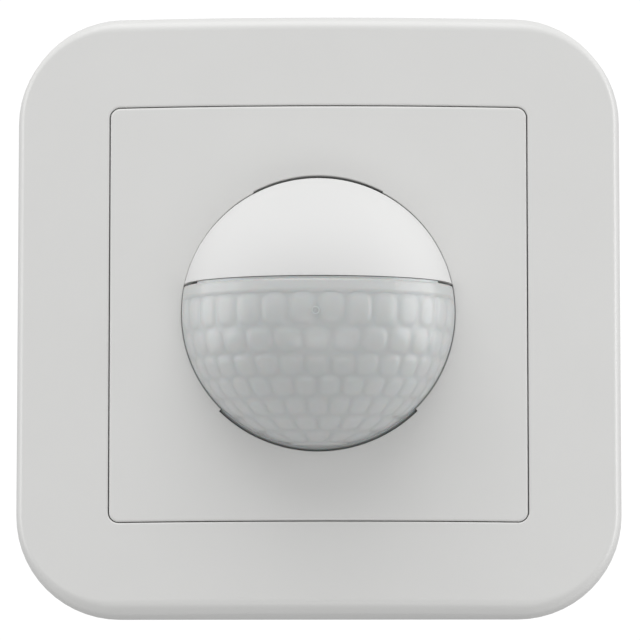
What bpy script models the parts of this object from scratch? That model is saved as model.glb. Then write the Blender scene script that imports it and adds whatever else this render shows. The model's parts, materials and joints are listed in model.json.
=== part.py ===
"""Flush-mounted 180-degree motion sensor for a round wall box.

The wall's surface is the plane Y = 0.  +Y runs into the wall, the front faces -Y, +Z is up.
Lengths that run along Y are given as distances forward of the wall, so a negative one lies
inside the wall box.
"""
import math

import bmesh
import bpy
from mathutils import Matrix, Vector

for old in list(bpy.data.objects):
    bpy.data.objects.remove(old)

MM = 0.001
GAP = 0.3 * MM                    # between pieces that touch

# Cover frame and centre plate
FRAME_SIDE = 87.0 * MM
FRAME_CORNER = 15.0 * MM
FRAME_WALL = 2.2 * MM
FRAME_EDGE = 2.0 * MM             # rounding of the frame's outer front edge
FACE_HEIGHT = 10.0 * MM           # crown of the fascia, forward of the wall
CROWN_RADIUS = 226.0 * MM         # the fascia bends about an upright axis
PLATE_SIDE = 59.9 * MM
PLATE_CORNER = 1.4 * MM
PLATE_THICKNESS = 2.0 * MM
PLATE_GAP = 0.25 * MM             # visible gap between plate and frame
PLATE_EDGE = 0.4 * MM             # rounding along that gap
SKIRT_WALL = 1.4 * MM
SKIRT_REAR = 3.4 * MM
NOTCH_DEPTH = 0.45 * MM           # finger notch below the dome
NOTCH_HALF_ANGLE = 45.0
PRY_DEPTH = 0.15 * MM             # pry relief above the dome
PRY_HALF_ANGLE = 28.0

# Dome: hood above, lens below, both on one sphere
DOME_RADIUS = 19.65 * MM
DOME_CENTRE = 9.6 * MM            # forward of the wall
DOME_HOLE_GAP = 0.3 * MM
HOOD_WALL = 1.5 * MM
LENS_WALL = 1.0 * MM
SPLIT_HEIGHT = 3.9 * MM           # lens top edge above the sphere's centre
SPLIT_SLOPE = 4.07                # degrees, falling towards the front
SPLIT_GAP = 0.35 * MM
LENS_FLANGE = 1.55 * MM
LENS_FLANGE_THICKNESS = 1.0 * MM
CLAMP_WIDTH = 3.0 * MM
CLAMP_THICKNESS = 1.3 * MM

# Support ring
RING_SIDE = 71.0 * MM
RING_CORNER = 8.0 * MM
RING_THICKNESS = 1.2 * MM
BOX_SCREW_SPACING = 60.0 * MM     # fixing screws of a standard wall box
BOX_SLOT = (3.5 * MM, 8.0 * MM)

# Insert housing, inside the wall box
HOUSING_WIDTH = 43.0 * MM
HOUSING_HEIGHT = 49.0 * MM
HOUSING_DEPTH = 32.0 * MM
HOUSING_WALL = 1.8 * MM
HOUSING_BACK = 2.0 * MM
NECK_WIDTH = 30.4 * MM
NECK_HEIGHT = 44.4 * MM
NECK_DEPTH = 15.5 * MM            # the narrow front part of the cavity
COVER_THICKNESS = 1.5 * MM
BOARD_THICKNESS = 1.6 * MM
POWER_BOARD_FRONT = -17.0 * MM
RELAY = (20.4 * MM, 9.0 * MM, 14.6 * MM)             # width, height, length forward
FILM_CAPACITOR = (18.0 * MM, 7.5 * MM, 12.5 * MM)
CAN_CAPACITOR = (4.0 * MM, 11.5 * MM)                # radius, length
CAN_PLACE = (-8.2 * MM, 4.0 * MM)
VARISTOR = (4.5 * MM, 3.6 * MM)
VARISTOR_PLACE = (2.6 * MM, 3.5 * MM)
FUSE_RESISTOR = (1.7 * MM, 9.5 * MM)
FUSE_PLACE = (9.6 * MM, 2.7 * MM)

# Terminals
TERMINAL_WIDTH = 30.0 * MM
TERMINAL_HEIGHT = 13.0 * MM
TERMINAL_PITCH = 10.0 * MM
TERMINAL_RECESS = 0.4 * MM
TERMINAL_WALL = 1.0 * MM          # in front of its pockets
WIRE_RADIUS = 1.4 * MM
BUTTON_SIZE = (3.2 * MM, 3.0 * MM)
BUTTON_PROUD = 1.0 * MM
BUTTON_TRAVEL = 1.5 * MM

# Spreading claws
CLAW_PIVOT_DEPTH = 2.1 * MM       # behind the wall's surface
CLAW_ARM = 5.5 * MM               # from the pivot to the screw
CLAW_LEG_CLEARANCE = 4.3 * MM     # between the leg and the housing's side
CLAW_LEG = 22.0 * MM
CLAW_TOOTH = 1.5 * MM
CLAW_SHEET = 1.2 * MM
CLAW_WIDTH = 8.0 * MM
CLAW_REST_ANGLE = 20.0            # the tab's slope before the screw is turned
CLAW_EYE = 1.7 * MM
CLAW_PIN = 0.75 * MM
CLAW_LUG = 1.2 * MM
CLAW_SCREW = 1.75 * MM            # M3.5 thread, radius
CLAW_SCREW_HEAD = 3.2 * MM
CLAW_HEAD_HEIGHT = 1.6 * MM
CLAW_SCREW_LENGTH = 13.4 * MM
CLAW_NUT = 2.2 * MM
CLAW_NUT_LENGTH = 7.2 * MM

# Sensor head
CARRIER_CLEARANCE = 1.05 * MM     # to the centre plate's skirt
CARRIER_REAR = 1.5 * MM
CARRIER_BASE = 1.5 * MM
CARRIER_SCREW = 1.5 * MM
CARRIER_SCREW_HEAD = 2.8 * MM
BOARD_SCREW = 0.9 * MM
BOARD_SCREW_HEAD = 1.8 * MM
SENSOR_BOARD_REAR = 4.2 * MM
SENSOR_BOARD_THICKNESS = 1.2 * MM
BOARD_SCREW_DROP = 6.0 * MM
BOARD_SCREW_RIM = 2.4 * MM        # from the screw's axis to the board's rim
COLLAR_WALL = 1.3 * MM
PANEL_FRONT = 15.0 * MM
PANEL_FLOOR = 4.8 * MM
PANEL_WALL = 1.2 * MM
DIAL_RADIUS = 2.6 * MM
DIAL_ROW_CLEARANCE = 0.5 * MM     # between the trimmers and the panel's floor
DIAL_PROUD = 0.8 * MM
TRIMMER_SIZE = 4.4 * MM
TRIMMER_THICKNESS = 1.9 * MM
SLIDER_RISE = 4.9 * MM            # above the row of dials
SLIDER_SIZE = (2.0 * MM, 1.2 * MM)
SLIDER_TRAVEL = 1.5 * MM          # each way
PIR_DROP = 3.6 * MM               # below the dome's centre
PIR_RADIUS = 4.15 * MM
PIR_FLANGE = 0.6 * MM
PIR_WINDOW = (4.6 * MM, 3.4 * MM)
LED_PLACE = (2.7 * MM, 3.0 * MM)
LED_RADIUS = 1.2 * MM
HEADER_PINS = 5
HEADER_PITCH = 2.54 * MM
HEADER_PIN = 0.64 * MM
HEADER_DROP = 9.0 * MM


def crown(x):
    """Height of the bent front surface forward of the wall."""
    return FACE_HEIGHT - CROWN_RADIUS + math.sqrt(CROWN_RADIUS ** 2 - x ** 2)


# Sizes that follow from those above
PLATE_HOLE = DOME_RADIUS + DOME_HOLE_GAP
OPENING_HALF = PLATE_SIDE / 2 + PLATE_GAP
HOOD_INSIDE = DOME_RADIUS - HOOD_WALL
SENSOR_BOARD_RADIUS = HOOD_INSIDE - GAP
SENSOR_BOARD_FRONT = SENSOR_BOARD_REAR + SENSOR_BOARD_THICKNESS
ON_BOARD = SENSOR_BOARD_FRONT + GAP
CARRIER_FRONT = CARRIER_REAR + CARRIER_BASE
PANEL_RADIUS = math.sqrt(HOOD_INSIDE ** 2 - (PANEL_FRONT - DOME_CENTRE) ** 2) - GAP
CLAMP_OUTSIDE = PLATE_HOLE + CLAMP_WIDTH
COLLAR_INSIDE = CLAMP_OUTSIDE + GAP
COLLAR_OUTSIDE = COLLAR_INSIDE + COLLAR_WALL
COLLAR_FRONT = crown(COLLAR_OUTSIDE) - PLATE_THICKNESS - GAP
CLAMP_REAR = COLLAR_FRONT - CLAMP_THICKNESS
DOME_REAR = CLAMP_REAR - GAP - LENS_FLANGE_THICKNESS
POWER_BOARD_REAR = POWER_BOARD_FRONT - BOARD_THICKNESS
ON_POWER_BOARD = POWER_BOARD_FRONT + GAP
TERMINAL_REAR = -HOUSING_DEPTH + TERMINAL_RECESS
TERMINAL_FRONT = POWER_BOARD_REAR - GAP
CARRIER_SIDE = PLATE_SIDE - 2 * (SKIRT_WALL + CARRIER_CLEARANCE)
CARRIER_SCREW_PLACE = (COLLAR_OUTSIDE + CARRIER_SCREW_HEAD + 3 * GAP) / math.sqrt(2)
BOARD_SCREW_RADIUS = SENSOR_BOARD_RADIUS - BOARD_SCREW_RIM
BOARD_SCREW_X = math.sqrt(BOARD_SCREW_RADIUS ** 2 - BOARD_SCREW_DROP ** 2)
DIAL_HEIGHT = PANEL_FLOOR + PANEL_WALL + TRIMMER_SIZE / 2 + DIAL_ROW_CLEARANCE
DIAL_SPACING = (
    math.sqrt((PANEL_RADIUS - PANEL_WALL - DIAL_ROW_CLEARANCE) ** 2 - (DIAL_HEIGHT + TRIMMER_SIZE / 2) ** 2)
    - TRIMMER_SIZE / 2
)
SLIDER_HEIGHT = DIAL_HEIGHT + SLIDER_RISE
HEADER_WIDTH = HEADER_PINS * HEADER_PITCH + 3 * GAP
CLAW_SLOPE = math.radians(CLAW_REST_ANGLE)
CLAW_PIVOT = (NECK_WIDTH / 2 + 2 * GAP + CLAW_EYE, -CLAW_PIVOT_DEPTH)
CLAW_SCREW_X = CLAW_PIVOT[0] + CLAW_ARM
CLAW_ELBOW = HOUSING_WIDTH / 2 + CLAW_LEG_CLEARANCE + CLAW_SHEET / 2 - CLAW_PIVOT[0]
CLAW_SLOT = 2 * (CLAW_SCREW + GAP)

CORNER_STEPS = 6
SIDE_STEPS = 6
ROUND_STEPS = 28
SMALL_STEPS = 16


# ---------------------------------------------------------------- materials and objects

def finish(name, colour, roughness, metallic=0.0, alpha=1.0):
    """A Principled material with one colour."""
    material = bpy.data.materials.new(name)
    material.use_nodes = True
    shader = material.node_tree.nodes["Principled BSDF"]
    shader.inputs["Base Color"].default_value = (*colour, 1.0)
    shader.inputs["Roughness"].default_value = roughness
    shader.inputs["Metallic"].default_value = metallic
    shader.inputs["Alpha"].default_value = alpha
    return material


WHITE = ((0.72, 0.72, 0.71), 0.38)
HOOD_WHITE = ((0.82, 0.82, 0.82), 0.35)
MILKY = ((0.62, 0.63, 0.64), 0.2)
PALE_GREY = ((0.5, 0.51, 0.52), 0.5)
DARK = ((0.03, 0.03, 0.035), 0.5)
GREEN_BOARD = ((0.02, 0.18, 0.07), 0.45)
STEEL = ((0.62, 0.62, 0.6), 0.35, 1.0)
BRASS = ((0.7, 0.52, 0.22), 0.35, 1.0)
BLUE = ((0.03, 0.1, 0.45), 0.4)
ORANGE = ((0.8, 0.25, 0.03), 0.45)
YELLOW = ((0.75, 0.55, 0.05), 0.4)
CLEAR = ((0.8, 0.85, 0.9), 0.1)


def place(name, mesh_edit, look, at=(0.0, 0.0, 0.0)):
    """Make an object from a bmesh whose points are relative to `at` (x, forward, z)."""
    bmesh.ops.recalc_face_normals(mesh_edit, faces=mesh_edit.faces)
    mesh = bpy.data.meshes.new(name)
    mesh_edit.to_mesh(mesh)
    mesh_edit.free()
    mesh.shade_smooth()
    mesh.set_sharp_from_angle(angle=math.radians(35))
    part = bpy.data.objects.new(name, mesh)
    part.location = (at[0], -at[1], at[2])
    bpy.context.scene.collection.objects.link(part)
    if look is None:
        part.hide_render = True
        part.display_type = "WIRE"
    else:
        part.data.materials.append(finish(name, *look))
    return part


def combine(part, helpers, operation):
    """Cut helpers out of a part, or join them to it, and keep them as hidden guides."""
    for helper in helpers:
        step = part.modifiers.new(helper.name, "BOOLEAN")
        step.operation = operation
        step.solver = "EXACT"
        step.object = helper
    return part


def cut(part, *helpers):
    """Take each helper's volume away from a part."""
    return combine(part, helpers, "DIFFERENCE")


def join(part, *helpers):
    """Add each helper's volume to a part."""
    return combine(part, helpers, "UNION")


# ---------------------------------------------------------------- outlines and solids

def rounded_rectangle(half_width, half_height, radius):
    """Points (across, up) of a rounded rectangle; every size gives the same number."""
    points = []
    corners = ((1, 1, 0), (-1, 1, 90), (-1, -1, 180), (1, -1, 270))
    for side_x, side_z, start in corners:
        centre_x = side_x * (half_width - radius)
        centre_z = side_z * (half_height - radius)
        for step in range(CORNER_STEPS + 1):
            angle = math.radians(start + 90.0 * step / CORNER_STEPS)
            points.append((centre_x + radius * math.cos(angle), centre_z + radius * math.sin(angle)))
    return points


def with_side_points(points):
    """Divide the four straight sides of a rounded rectangle, so that they can bend."""
    corner = CORNER_STEPS + 1
    full = []
    for index, (x0, z0) in enumerate(points):
        full.append((x0, z0))
        if index % corner == corner - 1:
            x1, z1 = points[(index + 1) % len(points)]
            for step in range(1, SIDE_STEPS):
                share = step / SIDE_STEPS
                full.append((x0 + (x1 - x0) * share, z0 + (z1 - z0) * share))
    return full


def circle(radius, steps=ROUND_STEPS, centre=(0.0, 0.0)):
    """Points of a circle."""
    turns = [2 * math.pi * step / steps for step in range(steps)]
    return [(centre[0] + radius * math.cos(a), centre[1] + radius * math.sin(a)) for a in turns]


def sector(inner, outer, middle, half_angle, steps=10):
    """Points of a piece of a ring, in degrees about its middle direction."""
    angles = [math.radians(middle - half_angle + 2 * half_angle * s / steps) for s in range(steps + 1)]
    outside = [(outer * math.cos(a), outer * math.sin(a)) for a in angles]
    inside = [(inner * math.cos(a), inner * math.sin(a)) for a in reversed(angles)]
    return outside + inside


def loft(loops, closed=False):
    """Skin a list of equal loops of points; the ends are capped unless the skin is closed."""
    shape = bmesh.new()
    rows = [[shape.verts.new(point) for point in loop] for loop in loops]
    count = len(rows[0])
    pairs = list(zip(rows, rows[1:]))
    if closed:
        pairs.append((rows[-1], rows[0]))
    for first, second in pairs:
        for index in range(count):
            after = (index + 1) % count
            shape.faces.new((first[index], first[after], second[after], second[index]))
    if not closed:
        shape.faces.new(rows[0])
        shape.faces.new(rows[-1])
    return shape


def prism(outline, start, end, axis="f"):
    """A straight solid: an outline in (x, z), (z, forward) or (x, forward), run along an axis."""
    def point(a, b, along):
        if axis == "f":
            return Vector((a, -along, b))
        if axis == "x":
            return Vector((along, -b, a))
        return Vector((a, -b, along))
    return loft([[point(a, b, along) for a, b in outline] for along in (start, end)])


def block(width, height, start, end, radius=0.3 * MM, middle=(0.0, 0.0)):
    """A block with rounded upright edges, run forward from start to end."""
    outline = rounded_rectangle(width / 2, height / 2, radius)
    return prism([(x + middle[0], z + middle[1]) for x, z in outline], start, end)


def plain_box(width, height, start, end, middle=(0.0, 0.0)):
    """A sharp-edged box, run forward from start to end."""
    half_x, half_z = width / 2, height / 2
    corners = ((half_x, half_z), (-half_x, half_z), (-half_x, -half_z), (half_x, -half_z))
    return prism([(x + middle[0], z + middle[1]) for x, z in corners], start, end)


def turned(profile, steps=ROUND_STEPS, middle=(0.0, 0.0)):
    """A solid turned about the forward axis from (radius, forward) pairs."""
    loops = []
    for radius, forward in profile:
        loops.append([Vector((x, -forward, z)) for x, z in circle(radius, steps, middle)])
    return loft(loops)


def fascia_loop(points, below=None, level=None):
    """A loop on the crowned surface, or some way below it, or at one level."""
    loop = []
    for x, z in points:
        forward = level if level is not None else crown(x) - below
        loop.append(Vector((x, -forward, z)))
    return loop


def square(half, radius):
    """Outline of the frame or plate at a half side and corner radius."""
    return with_side_points(rounded_rectangle(half, half, radius))


# ---------------------------------------------------------------- fascia

def edge_loops(half, corner, rounding, inward, steps):
    """Loops that round an edge over from the crowned surface; inward is -1 for an opening."""
    loops = []
    for step in range(steps + 1):
        angle = math.radians(90.0 * step / steps)
        inset = rounding * (1 - math.cos(angle)) * inward
        drop = rounding * (1 - math.sin(angle))
        loops.append(fascia_loop(square(half - inset, corner - inset), below=drop))
    return loops


def cover_frame():
    """The outer frame: a shell with a rounded outer edge and a skirt around its opening."""
    half = FRAME_SIDE / 2
    opening_corner = PLATE_CORNER + PLATE_GAP
    skirt_half = OPENING_HALF + SKIRT_WALL
    skirt_corner = opening_corner + SKIRT_WALL
    inside = half - FRAME_WALL
    inside_corner = FRAME_CORNER - FRAME_WALL
    relief = FRAME_EDGE / 2
    loops = [fascia_loop(square(half, FRAME_CORNER), level=0.0)]
    loops += edge_loops(half, FRAME_CORNER, FRAME_EDGE, 1, 4)
    loops += reversed(edge_loops(OPENING_HALF, opening_corner, PLATE_EDGE, -1, 2))
    loops.append(fascia_loop(square(OPENING_HALF, opening_corner), level=SKIRT_REAR))
    loops.append(fascia_loop(square(skirt_half, skirt_corner), level=SKIRT_REAR))
    loops.append(fascia_loop(square(skirt_half, skirt_corner), below=FRAME_WALL))
    loops.append(fascia_loop(square(inside - relief, inside_corner - relief), below=FRAME_WALL))
    loops.append(fascia_loop(square(inside, inside_corner), below=FRAME_WALL + relief))
    loops.append(fascia_loop(square(inside, inside_corner), level=0.0))
    return place("cover_frame", loft(loops, closed=True), WHITE)


def centre_plate():
    """The square plate inside the frame, with a round hole for the dome."""
    half = PLATE_SIDE / 2
    outline = square(half, PLATE_CORNER)
    hole = []
    between = []
    for x, z in square(half - PLATE_EDGE, PLATE_CORNER - PLATE_EDGE):
        scale = PLATE_HOLE / math.hypot(x, z)
        hole.append((x * scale, z * scale))
        between.append((x * (1 + scale) / 2, z * (1 + scale) / 2))
    skirt = square(half - SKIRT_WALL, PLATE_CORNER)
    loops = [fascia_loop(outline, level=SKIRT_REAR)]
    loops += edge_loops(half, PLATE_CORNER, PLATE_EDGE, 1, 2)
    loops.append(fascia_loop(between, below=0.0))
    loops.append(fascia_loop(hole, below=0.0))
    loops.append(fascia_loop(hole, below=PLATE_THICKNESS))
    loops.append(fascia_loop(between, below=PLATE_THICKNESS))
    loops.append(fascia_loop(skirt, below=PLATE_THICKNESS))
    loops.append(fascia_loop(skirt, level=SKIRT_REAR))
    plate = place("centre_plate", loft(loops, closed=True), WHITE)
    inner = PLATE_HOLE - 1.0 * MM
    notch = sector(inner, PLATE_HOLE + NOTCH_DEPTH, -90.0, NOTCH_HALF_ANGLE)
    relief = sector(inner, PLATE_HOLE + PRY_DEPTH, 90.0, PRY_HALF_ANGLE)
    high = FACE_HEIGHT + 2.0 * MM
    return cut(
        plate,
        place("notch_cutter", prism(notch, SKIRT_REAR, high), None),
        place("pry_relief_cutter", prism(relief, SKIRT_REAR, high), None),
    )


# ---------------------------------------------------------------- dome

def dome_profile(wall, flange=0.0):
    """Profile of a hemispherical shell with a straight skirt, from inner pole to outer pole."""
    rings = 9
    angles = [math.radians(86.0 * step / rings) for step in range(rings + 1)]
    inside = DOME_RADIUS - wall
    inner = [(inside * math.cos(a), DOME_CENTRE + inside * math.sin(a)) for a in reversed(angles)]
    outer = [(DOME_RADIUS * math.cos(a), DOME_CENTRE + DOME_RADIUS * math.sin(a)) for a in angles]
    profile = inner + [(inside, DOME_REAR), (DOME_RADIUS + flange, DOME_REAR)]
    if flange:
        top = DOME_REAR + LENS_FLANGE_THICKNESS
        profile += [(DOME_RADIUS + flange, top), (DOME_RADIUS, top)]
    return profile + outer


def split_cutter(name, offset, direction):
    """A large box on one side of the sloping plane between hood and lens."""
    reach = 3 * DOME_RADIUS
    shape = plain_box(2 * reach, reach, -reach, reach, (0.0, direction * reach / 2))
    bmesh.ops.rotate(shape, verts=shape.verts, matrix=Matrix.Rotation(math.radians(SPLIT_SLOPE), 3, "X"))
    return place(name, shape, None, (0.0, DOME_CENTRE, SPLIT_HEIGHT + offset))


def dome():
    """The hood that pulls off, the lens below it, and the ring that clamps the lens."""
    hood = place("upper_hood", turned(dome_profile(HOOD_WALL), 44), HOOD_WHITE)
    cut(hood, split_cutter("below_hood_cutter", SPLIT_GAP, -1))
    lens = place("lens_dome", turned(dome_profile(LENS_WALL, LENS_FLANGE), 44), MILKY)
    cut(lens, split_cutter("above_lens_cutter", 0.0, 1))
    ring = place("lens_clamp_ring", prism(circle(CLAMP_OUTSIDE), CLAMP_REAR, COLLAR_FRONT), PALE_GREY)
    bore = prism(circle(PLATE_HOLE), CLAMP_REAR - GAP, COLLAR_FRONT + GAP)
    cut(ring, place("clamp_bore_cutter", bore, None))


# ---------------------------------------------------------------- sensor head

def screw(name, x, z, head, shank, under_head, length, head_height=1.3 * MM):
    """A pan-head screw that points into the wall, with a cross-slotted head."""
    top = under_head + head_height
    profile = [
        (shank * 0.7, under_head - length),
        (shank, under_head - length + 0.5 * MM),
        (shank, under_head),
        (head, under_head),
        (head, top - 0.4 * MM),
        (head * 0.8, top),
    ]
    local = [(radius, forward - under_head) for radius, forward in profile]
    part = place(name, turned(local, SMALL_STEPS), STEEL, (x, under_head, z))
    slot = head * 0.22
    for index, (width, height) in enumerate(((head * 1.3, slot), (slot, head * 1.3))):
        shape = plain_box(width, height, top - 0.6 * MM, top + GAP, (x, z))
        cut(part, place(f"{name}_recess_{index}", shape, None))
    return part


def head_carrier():
    """The base of the sensor head: a plate on the support ring, with a collar for the lens."""
    base = block(CARRIER_SIDE, CARRIER_SIDE, CARRIER_REAR, CARRIER_FRONT, 4.0 * MM)
    carrier = place("head_carrier", base, PALE_GREY)
    sunk = CARRIER_FRONT - 0.5 * MM
    past = COLLAR_FRONT + GAP
    collar = place("collar_guide", prism(circle(COLLAR_OUTSIDE), sunk, COLLAR_FRONT), None)
    well = place("collar_bore_cutter", prism(circle(COLLAR_INSIDE), CARRIER_FRONT, past), None)
    join(carrier, collar)
    cut(carrier, well)
    boss_top = SENSOR_BOARD_REAR - GAP
    for index, side in enumerate((-1, 1)):
        spot = (side * BOARD_SCREW_X, -BOARD_SCREW_DROP)
        boss = prism(circle(2.2 * MM, SMALL_STEPS, spot), sunk, boss_top)
        join(carrier, place(f"board_boss_{index}", boss, None))
        hole = prism(circle(BOARD_SCREW + GAP, SMALL_STEPS, spot), 0.0, past)
        cut(carrier, place(f"board_boss_hole_{index}", hole, None))
        access = circle(CLAW_SCREW_HEAD + GAP, SMALL_STEPS, (side * CLAW_SCREW_X, 0.0))
        clear = RING_THICKNESS + CLAW_HEAD_HEIGHT + 2 * GAP
        cut(carrier, place(f"claw_access_{index}", prism(access, 0.0, clear), None))
        corner = (side * CARRIER_SCREW_PLACE, side * CARRIER_SCREW_PLACE)
        hole = prism(circle(CARRIER_SCREW + GAP, SMALL_STEPS, corner), 0.0, CARRIER_FRONT + GAP)
        cut(carrier, place(f"carrier_screw_hole_{index}", hole, None))
    opening = plain_box(HEADER_WIDTH + 2.4 * MM, 5.2 * MM, 0.0, CARRIER_FRONT + GAP, (0.0, -HEADER_DROP))
    cut(carrier, place("header_opening_cutter", opening, None))


def sensor_electronics():
    """The round sensor board and what stands on it below the adjuster panel."""
    board = prism(circle(SENSOR_BOARD_RADIUS), SENSOR_BOARD_REAR, SENSOR_BOARD_FRONT)
    board = place("sensor_board", board, GREEN_BOARD)
    for index, side in enumerate((-1, 1)):
        spot = (side * BOARD_SCREW_X, -BOARD_SCREW_DROP)
        hole = prism(circle(BOARD_SCREW + GAP, SMALL_STEPS, spot), 0.0, ON_BOARD)
        cut(board, place(f"board_hole_{index}", hole, None))
        length = ON_BOARD - CARRIER_REAR
        screw(f"board_screw_{index + 1}", *spot, BOARD_SCREW_HEAD, BOARD_SCREW, ON_BOARD, length)
        corner = side * CARRIER_SCREW_PLACE
        under_head = CARRIER_FRONT + GAP
        screw(f"carrier_screw_{index + 1}", corner, corner, CARRIER_SCREW_HEAD, CARRIER_SCREW,
              under_head, under_head)
    top = DOME_CENTRE
    flange = PIR_RADIUS + PIR_FLANGE
    spot = (0.0, -PIR_DROP)
    can = [(flange, ON_BOARD), (flange, ON_BOARD + 0.5 * MM), (PIR_RADIUS, ON_BOARD + 0.5 * MM)]
    can += [(PIR_RADIUS, top - 0.4 * MM), (PIR_RADIUS - 0.4 * MM, top)]
    can = place("pir_sensor_can", turned(can, middle=spot), STEEL)
    window_rear = top - 0.3 * MM
    pocket = plain_box(
        PIR_WINDOW[0] + 2 * GAP, PIR_WINDOW[1] + 2 * GAP, window_rear - GAP, top + GAP, spot
    )
    cut(can, place("pir_window_pocket", pocket, None))
    place("pir_window", plain_box(*PIR_WINDOW, window_rear, top + 0.1 * MM, spot), DARK)
    holder_bore = flange + GAP
    holder = prism(circle(holder_bore + 0.6 * MM, centre=spot), ON_BOARD, ON_BOARD + 2.0 * MM)
    holder = place("sensor_holder", holder, DARK)
    bore = prism(circle(holder_bore, centre=spot), ON_BOARD - GAP, ON_BOARD + 2.3 * MM)
    cut(holder, place("sensor_holder_bore", bore, None))
    small_domes = (("light_sensor", -1, CLEAR, 4.0 * MM), ("status_led", 1, ORANGE, 5.0 * MM))
    for name, side, look, height in small_domes:
        tip = ON_BOARD + height
        spot = (side * LED_PLACE[0], LED_PLACE[1])
        profile = [(LED_RADIUS, ON_BOARD), (LED_RADIUS, tip - LED_RADIUS)]
        for angle in (30.0, 60.0, 80.0):
            turn = math.radians(angle)
            profile.append((LED_RADIUS * math.cos(turn), tip - LED_RADIUS * (1 - math.sin(turn))))
        place(name, turned(profile, SMALL_STEPS, spot), look)
    socket_front = SENSOR_BOARD_REAR - GAP
    socket = plain_box(HEADER_WIDTH, 3.2 * MM, CARRIER_REAR + 0.4 * MM, socket_front, (0.0, -HEADER_DROP))
    socket = place("header_socket", socket, DARK)
    slot = plain_box(HEADER_WIDTH - 1.6 * MM, 1.4 * MM, 0.0, socket_front - 0.4 * MM, (0.0, -HEADER_DROP))
    cut(socket, place("header_socket_slot", slot, None))


def d_outline(radius, floor, steps=20):
    """Points of a circle's part above a level."""
    start = math.asin(floor / radius)
    sweep = math.pi - 2 * start
    angles = [start + sweep * step / steps for step in range(steps + 1)]
    return [(radius * math.cos(a), radius * math.sin(a)) for a in angles]


def adjusters():
    """The panel under the hood with three dials and a mode slider, and what they turn."""
    panel = place("adjuster_panel", prism(d_outline(PANEL_RADIUS, PANEL_FLOOR), ON_BOARD, PANEL_FRONT), WHITE)
    wall_rear = PANEL_FRONT - PANEL_WALL
    hollow = d_outline(PANEL_RADIUS - PANEL_WALL, PANEL_FLOOR + PANEL_WALL)
    cut(panel, place("panel_hollow_cutter", prism(hollow, ON_BOARD - GAP, wall_rear), None))
    dial_top = PANEL_FRONT + DIAL_PROUD
    trimmer_top = ON_BOARD + TRIMMER_THICKNESS
    for index, name in enumerate(("time_dial", "lux_dial", "range_dial")):
        x = (index - 1) * DIAL_SPACING
        spot = (x, DIAL_HEIGHT)
        hole = prism(circle(DIAL_RADIUS + GAP, SMALL_STEPS, spot), wall_rear - GAP, PANEL_FRONT + GAP)
        cut(panel, place(f"{name}_hole", hole, None))
        shoulder = wall_rear - GAP - PANEL_FRONT
        profile = [
            (0.9 * MM, trimmer_top + GAP - PANEL_FRONT),
            (0.9 * MM, shoulder),
            (DIAL_RADIUS, shoulder),
            (DIAL_RADIUS, DIAL_PROUD - 0.3 * MM),
            (DIAL_RADIUS - 0.3 * MM, DIAL_PROUD),
        ]
        dial = place(name, turned(profile, 20), ORANGE, (x, PANEL_FRONT, DIAL_HEIGHT))
        slot = plain_box(0.8 * MM, 3 * DIAL_RADIUS, dial_top - 0.9 * MM, dial_top + GAP, spot)
        cut(dial, place(f"{name}_slot", slot, None))
        body = plain_box(TRIMMER_SIZE, TRIMMER_SIZE, ON_BOARD, trimmer_top, spot)
        place(f"trimmer_{index + 1}", body, BLUE)
    reach = SLIDER_SIZE[0] + 2 * SLIDER_TRAVEL + 2 * GAP
    slot = plain_box(reach, SLIDER_SIZE[1] + 2 * GAP, wall_rear - GAP, PANEL_FRONT + GAP,
                     (0.0, SLIDER_HEIGHT))
    cut(panel, place("slider_slot_cutter", slot, None))
    shoe_rear = wall_rear - GAP - 1.0 * MM
    at = (0.0, PANEL_FRONT, SLIDER_HEIGHT)
    shoe = plain_box(2 * SLIDER_SIZE[0], SLIDER_SIZE[1] + 0.4 * MM,
                     shoe_rear - PANEL_FRONT, wall_rear - GAP - PANEL_FRONT)
    knob = plain_box(*SLIDER_SIZE, wall_rear - 0.8 * MM, PANEL_FRONT + 1.2 * MM, (0.0, SLIDER_HEIGHT))
    slider = place("mode_slider", shoe, DARK, at)
    join(slider, place("slider_knob_guide", knob, None))
    body_front = shoe_rear - GAP
    body = plain_box(6.4 * MM, 2.4 * MM, ON_BOARD, body_front, (0.0, SLIDER_HEIGHT))
    place("mode_switch_body", body, STEEL)


# ---------------------------------------------------------------- ring and insert

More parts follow.
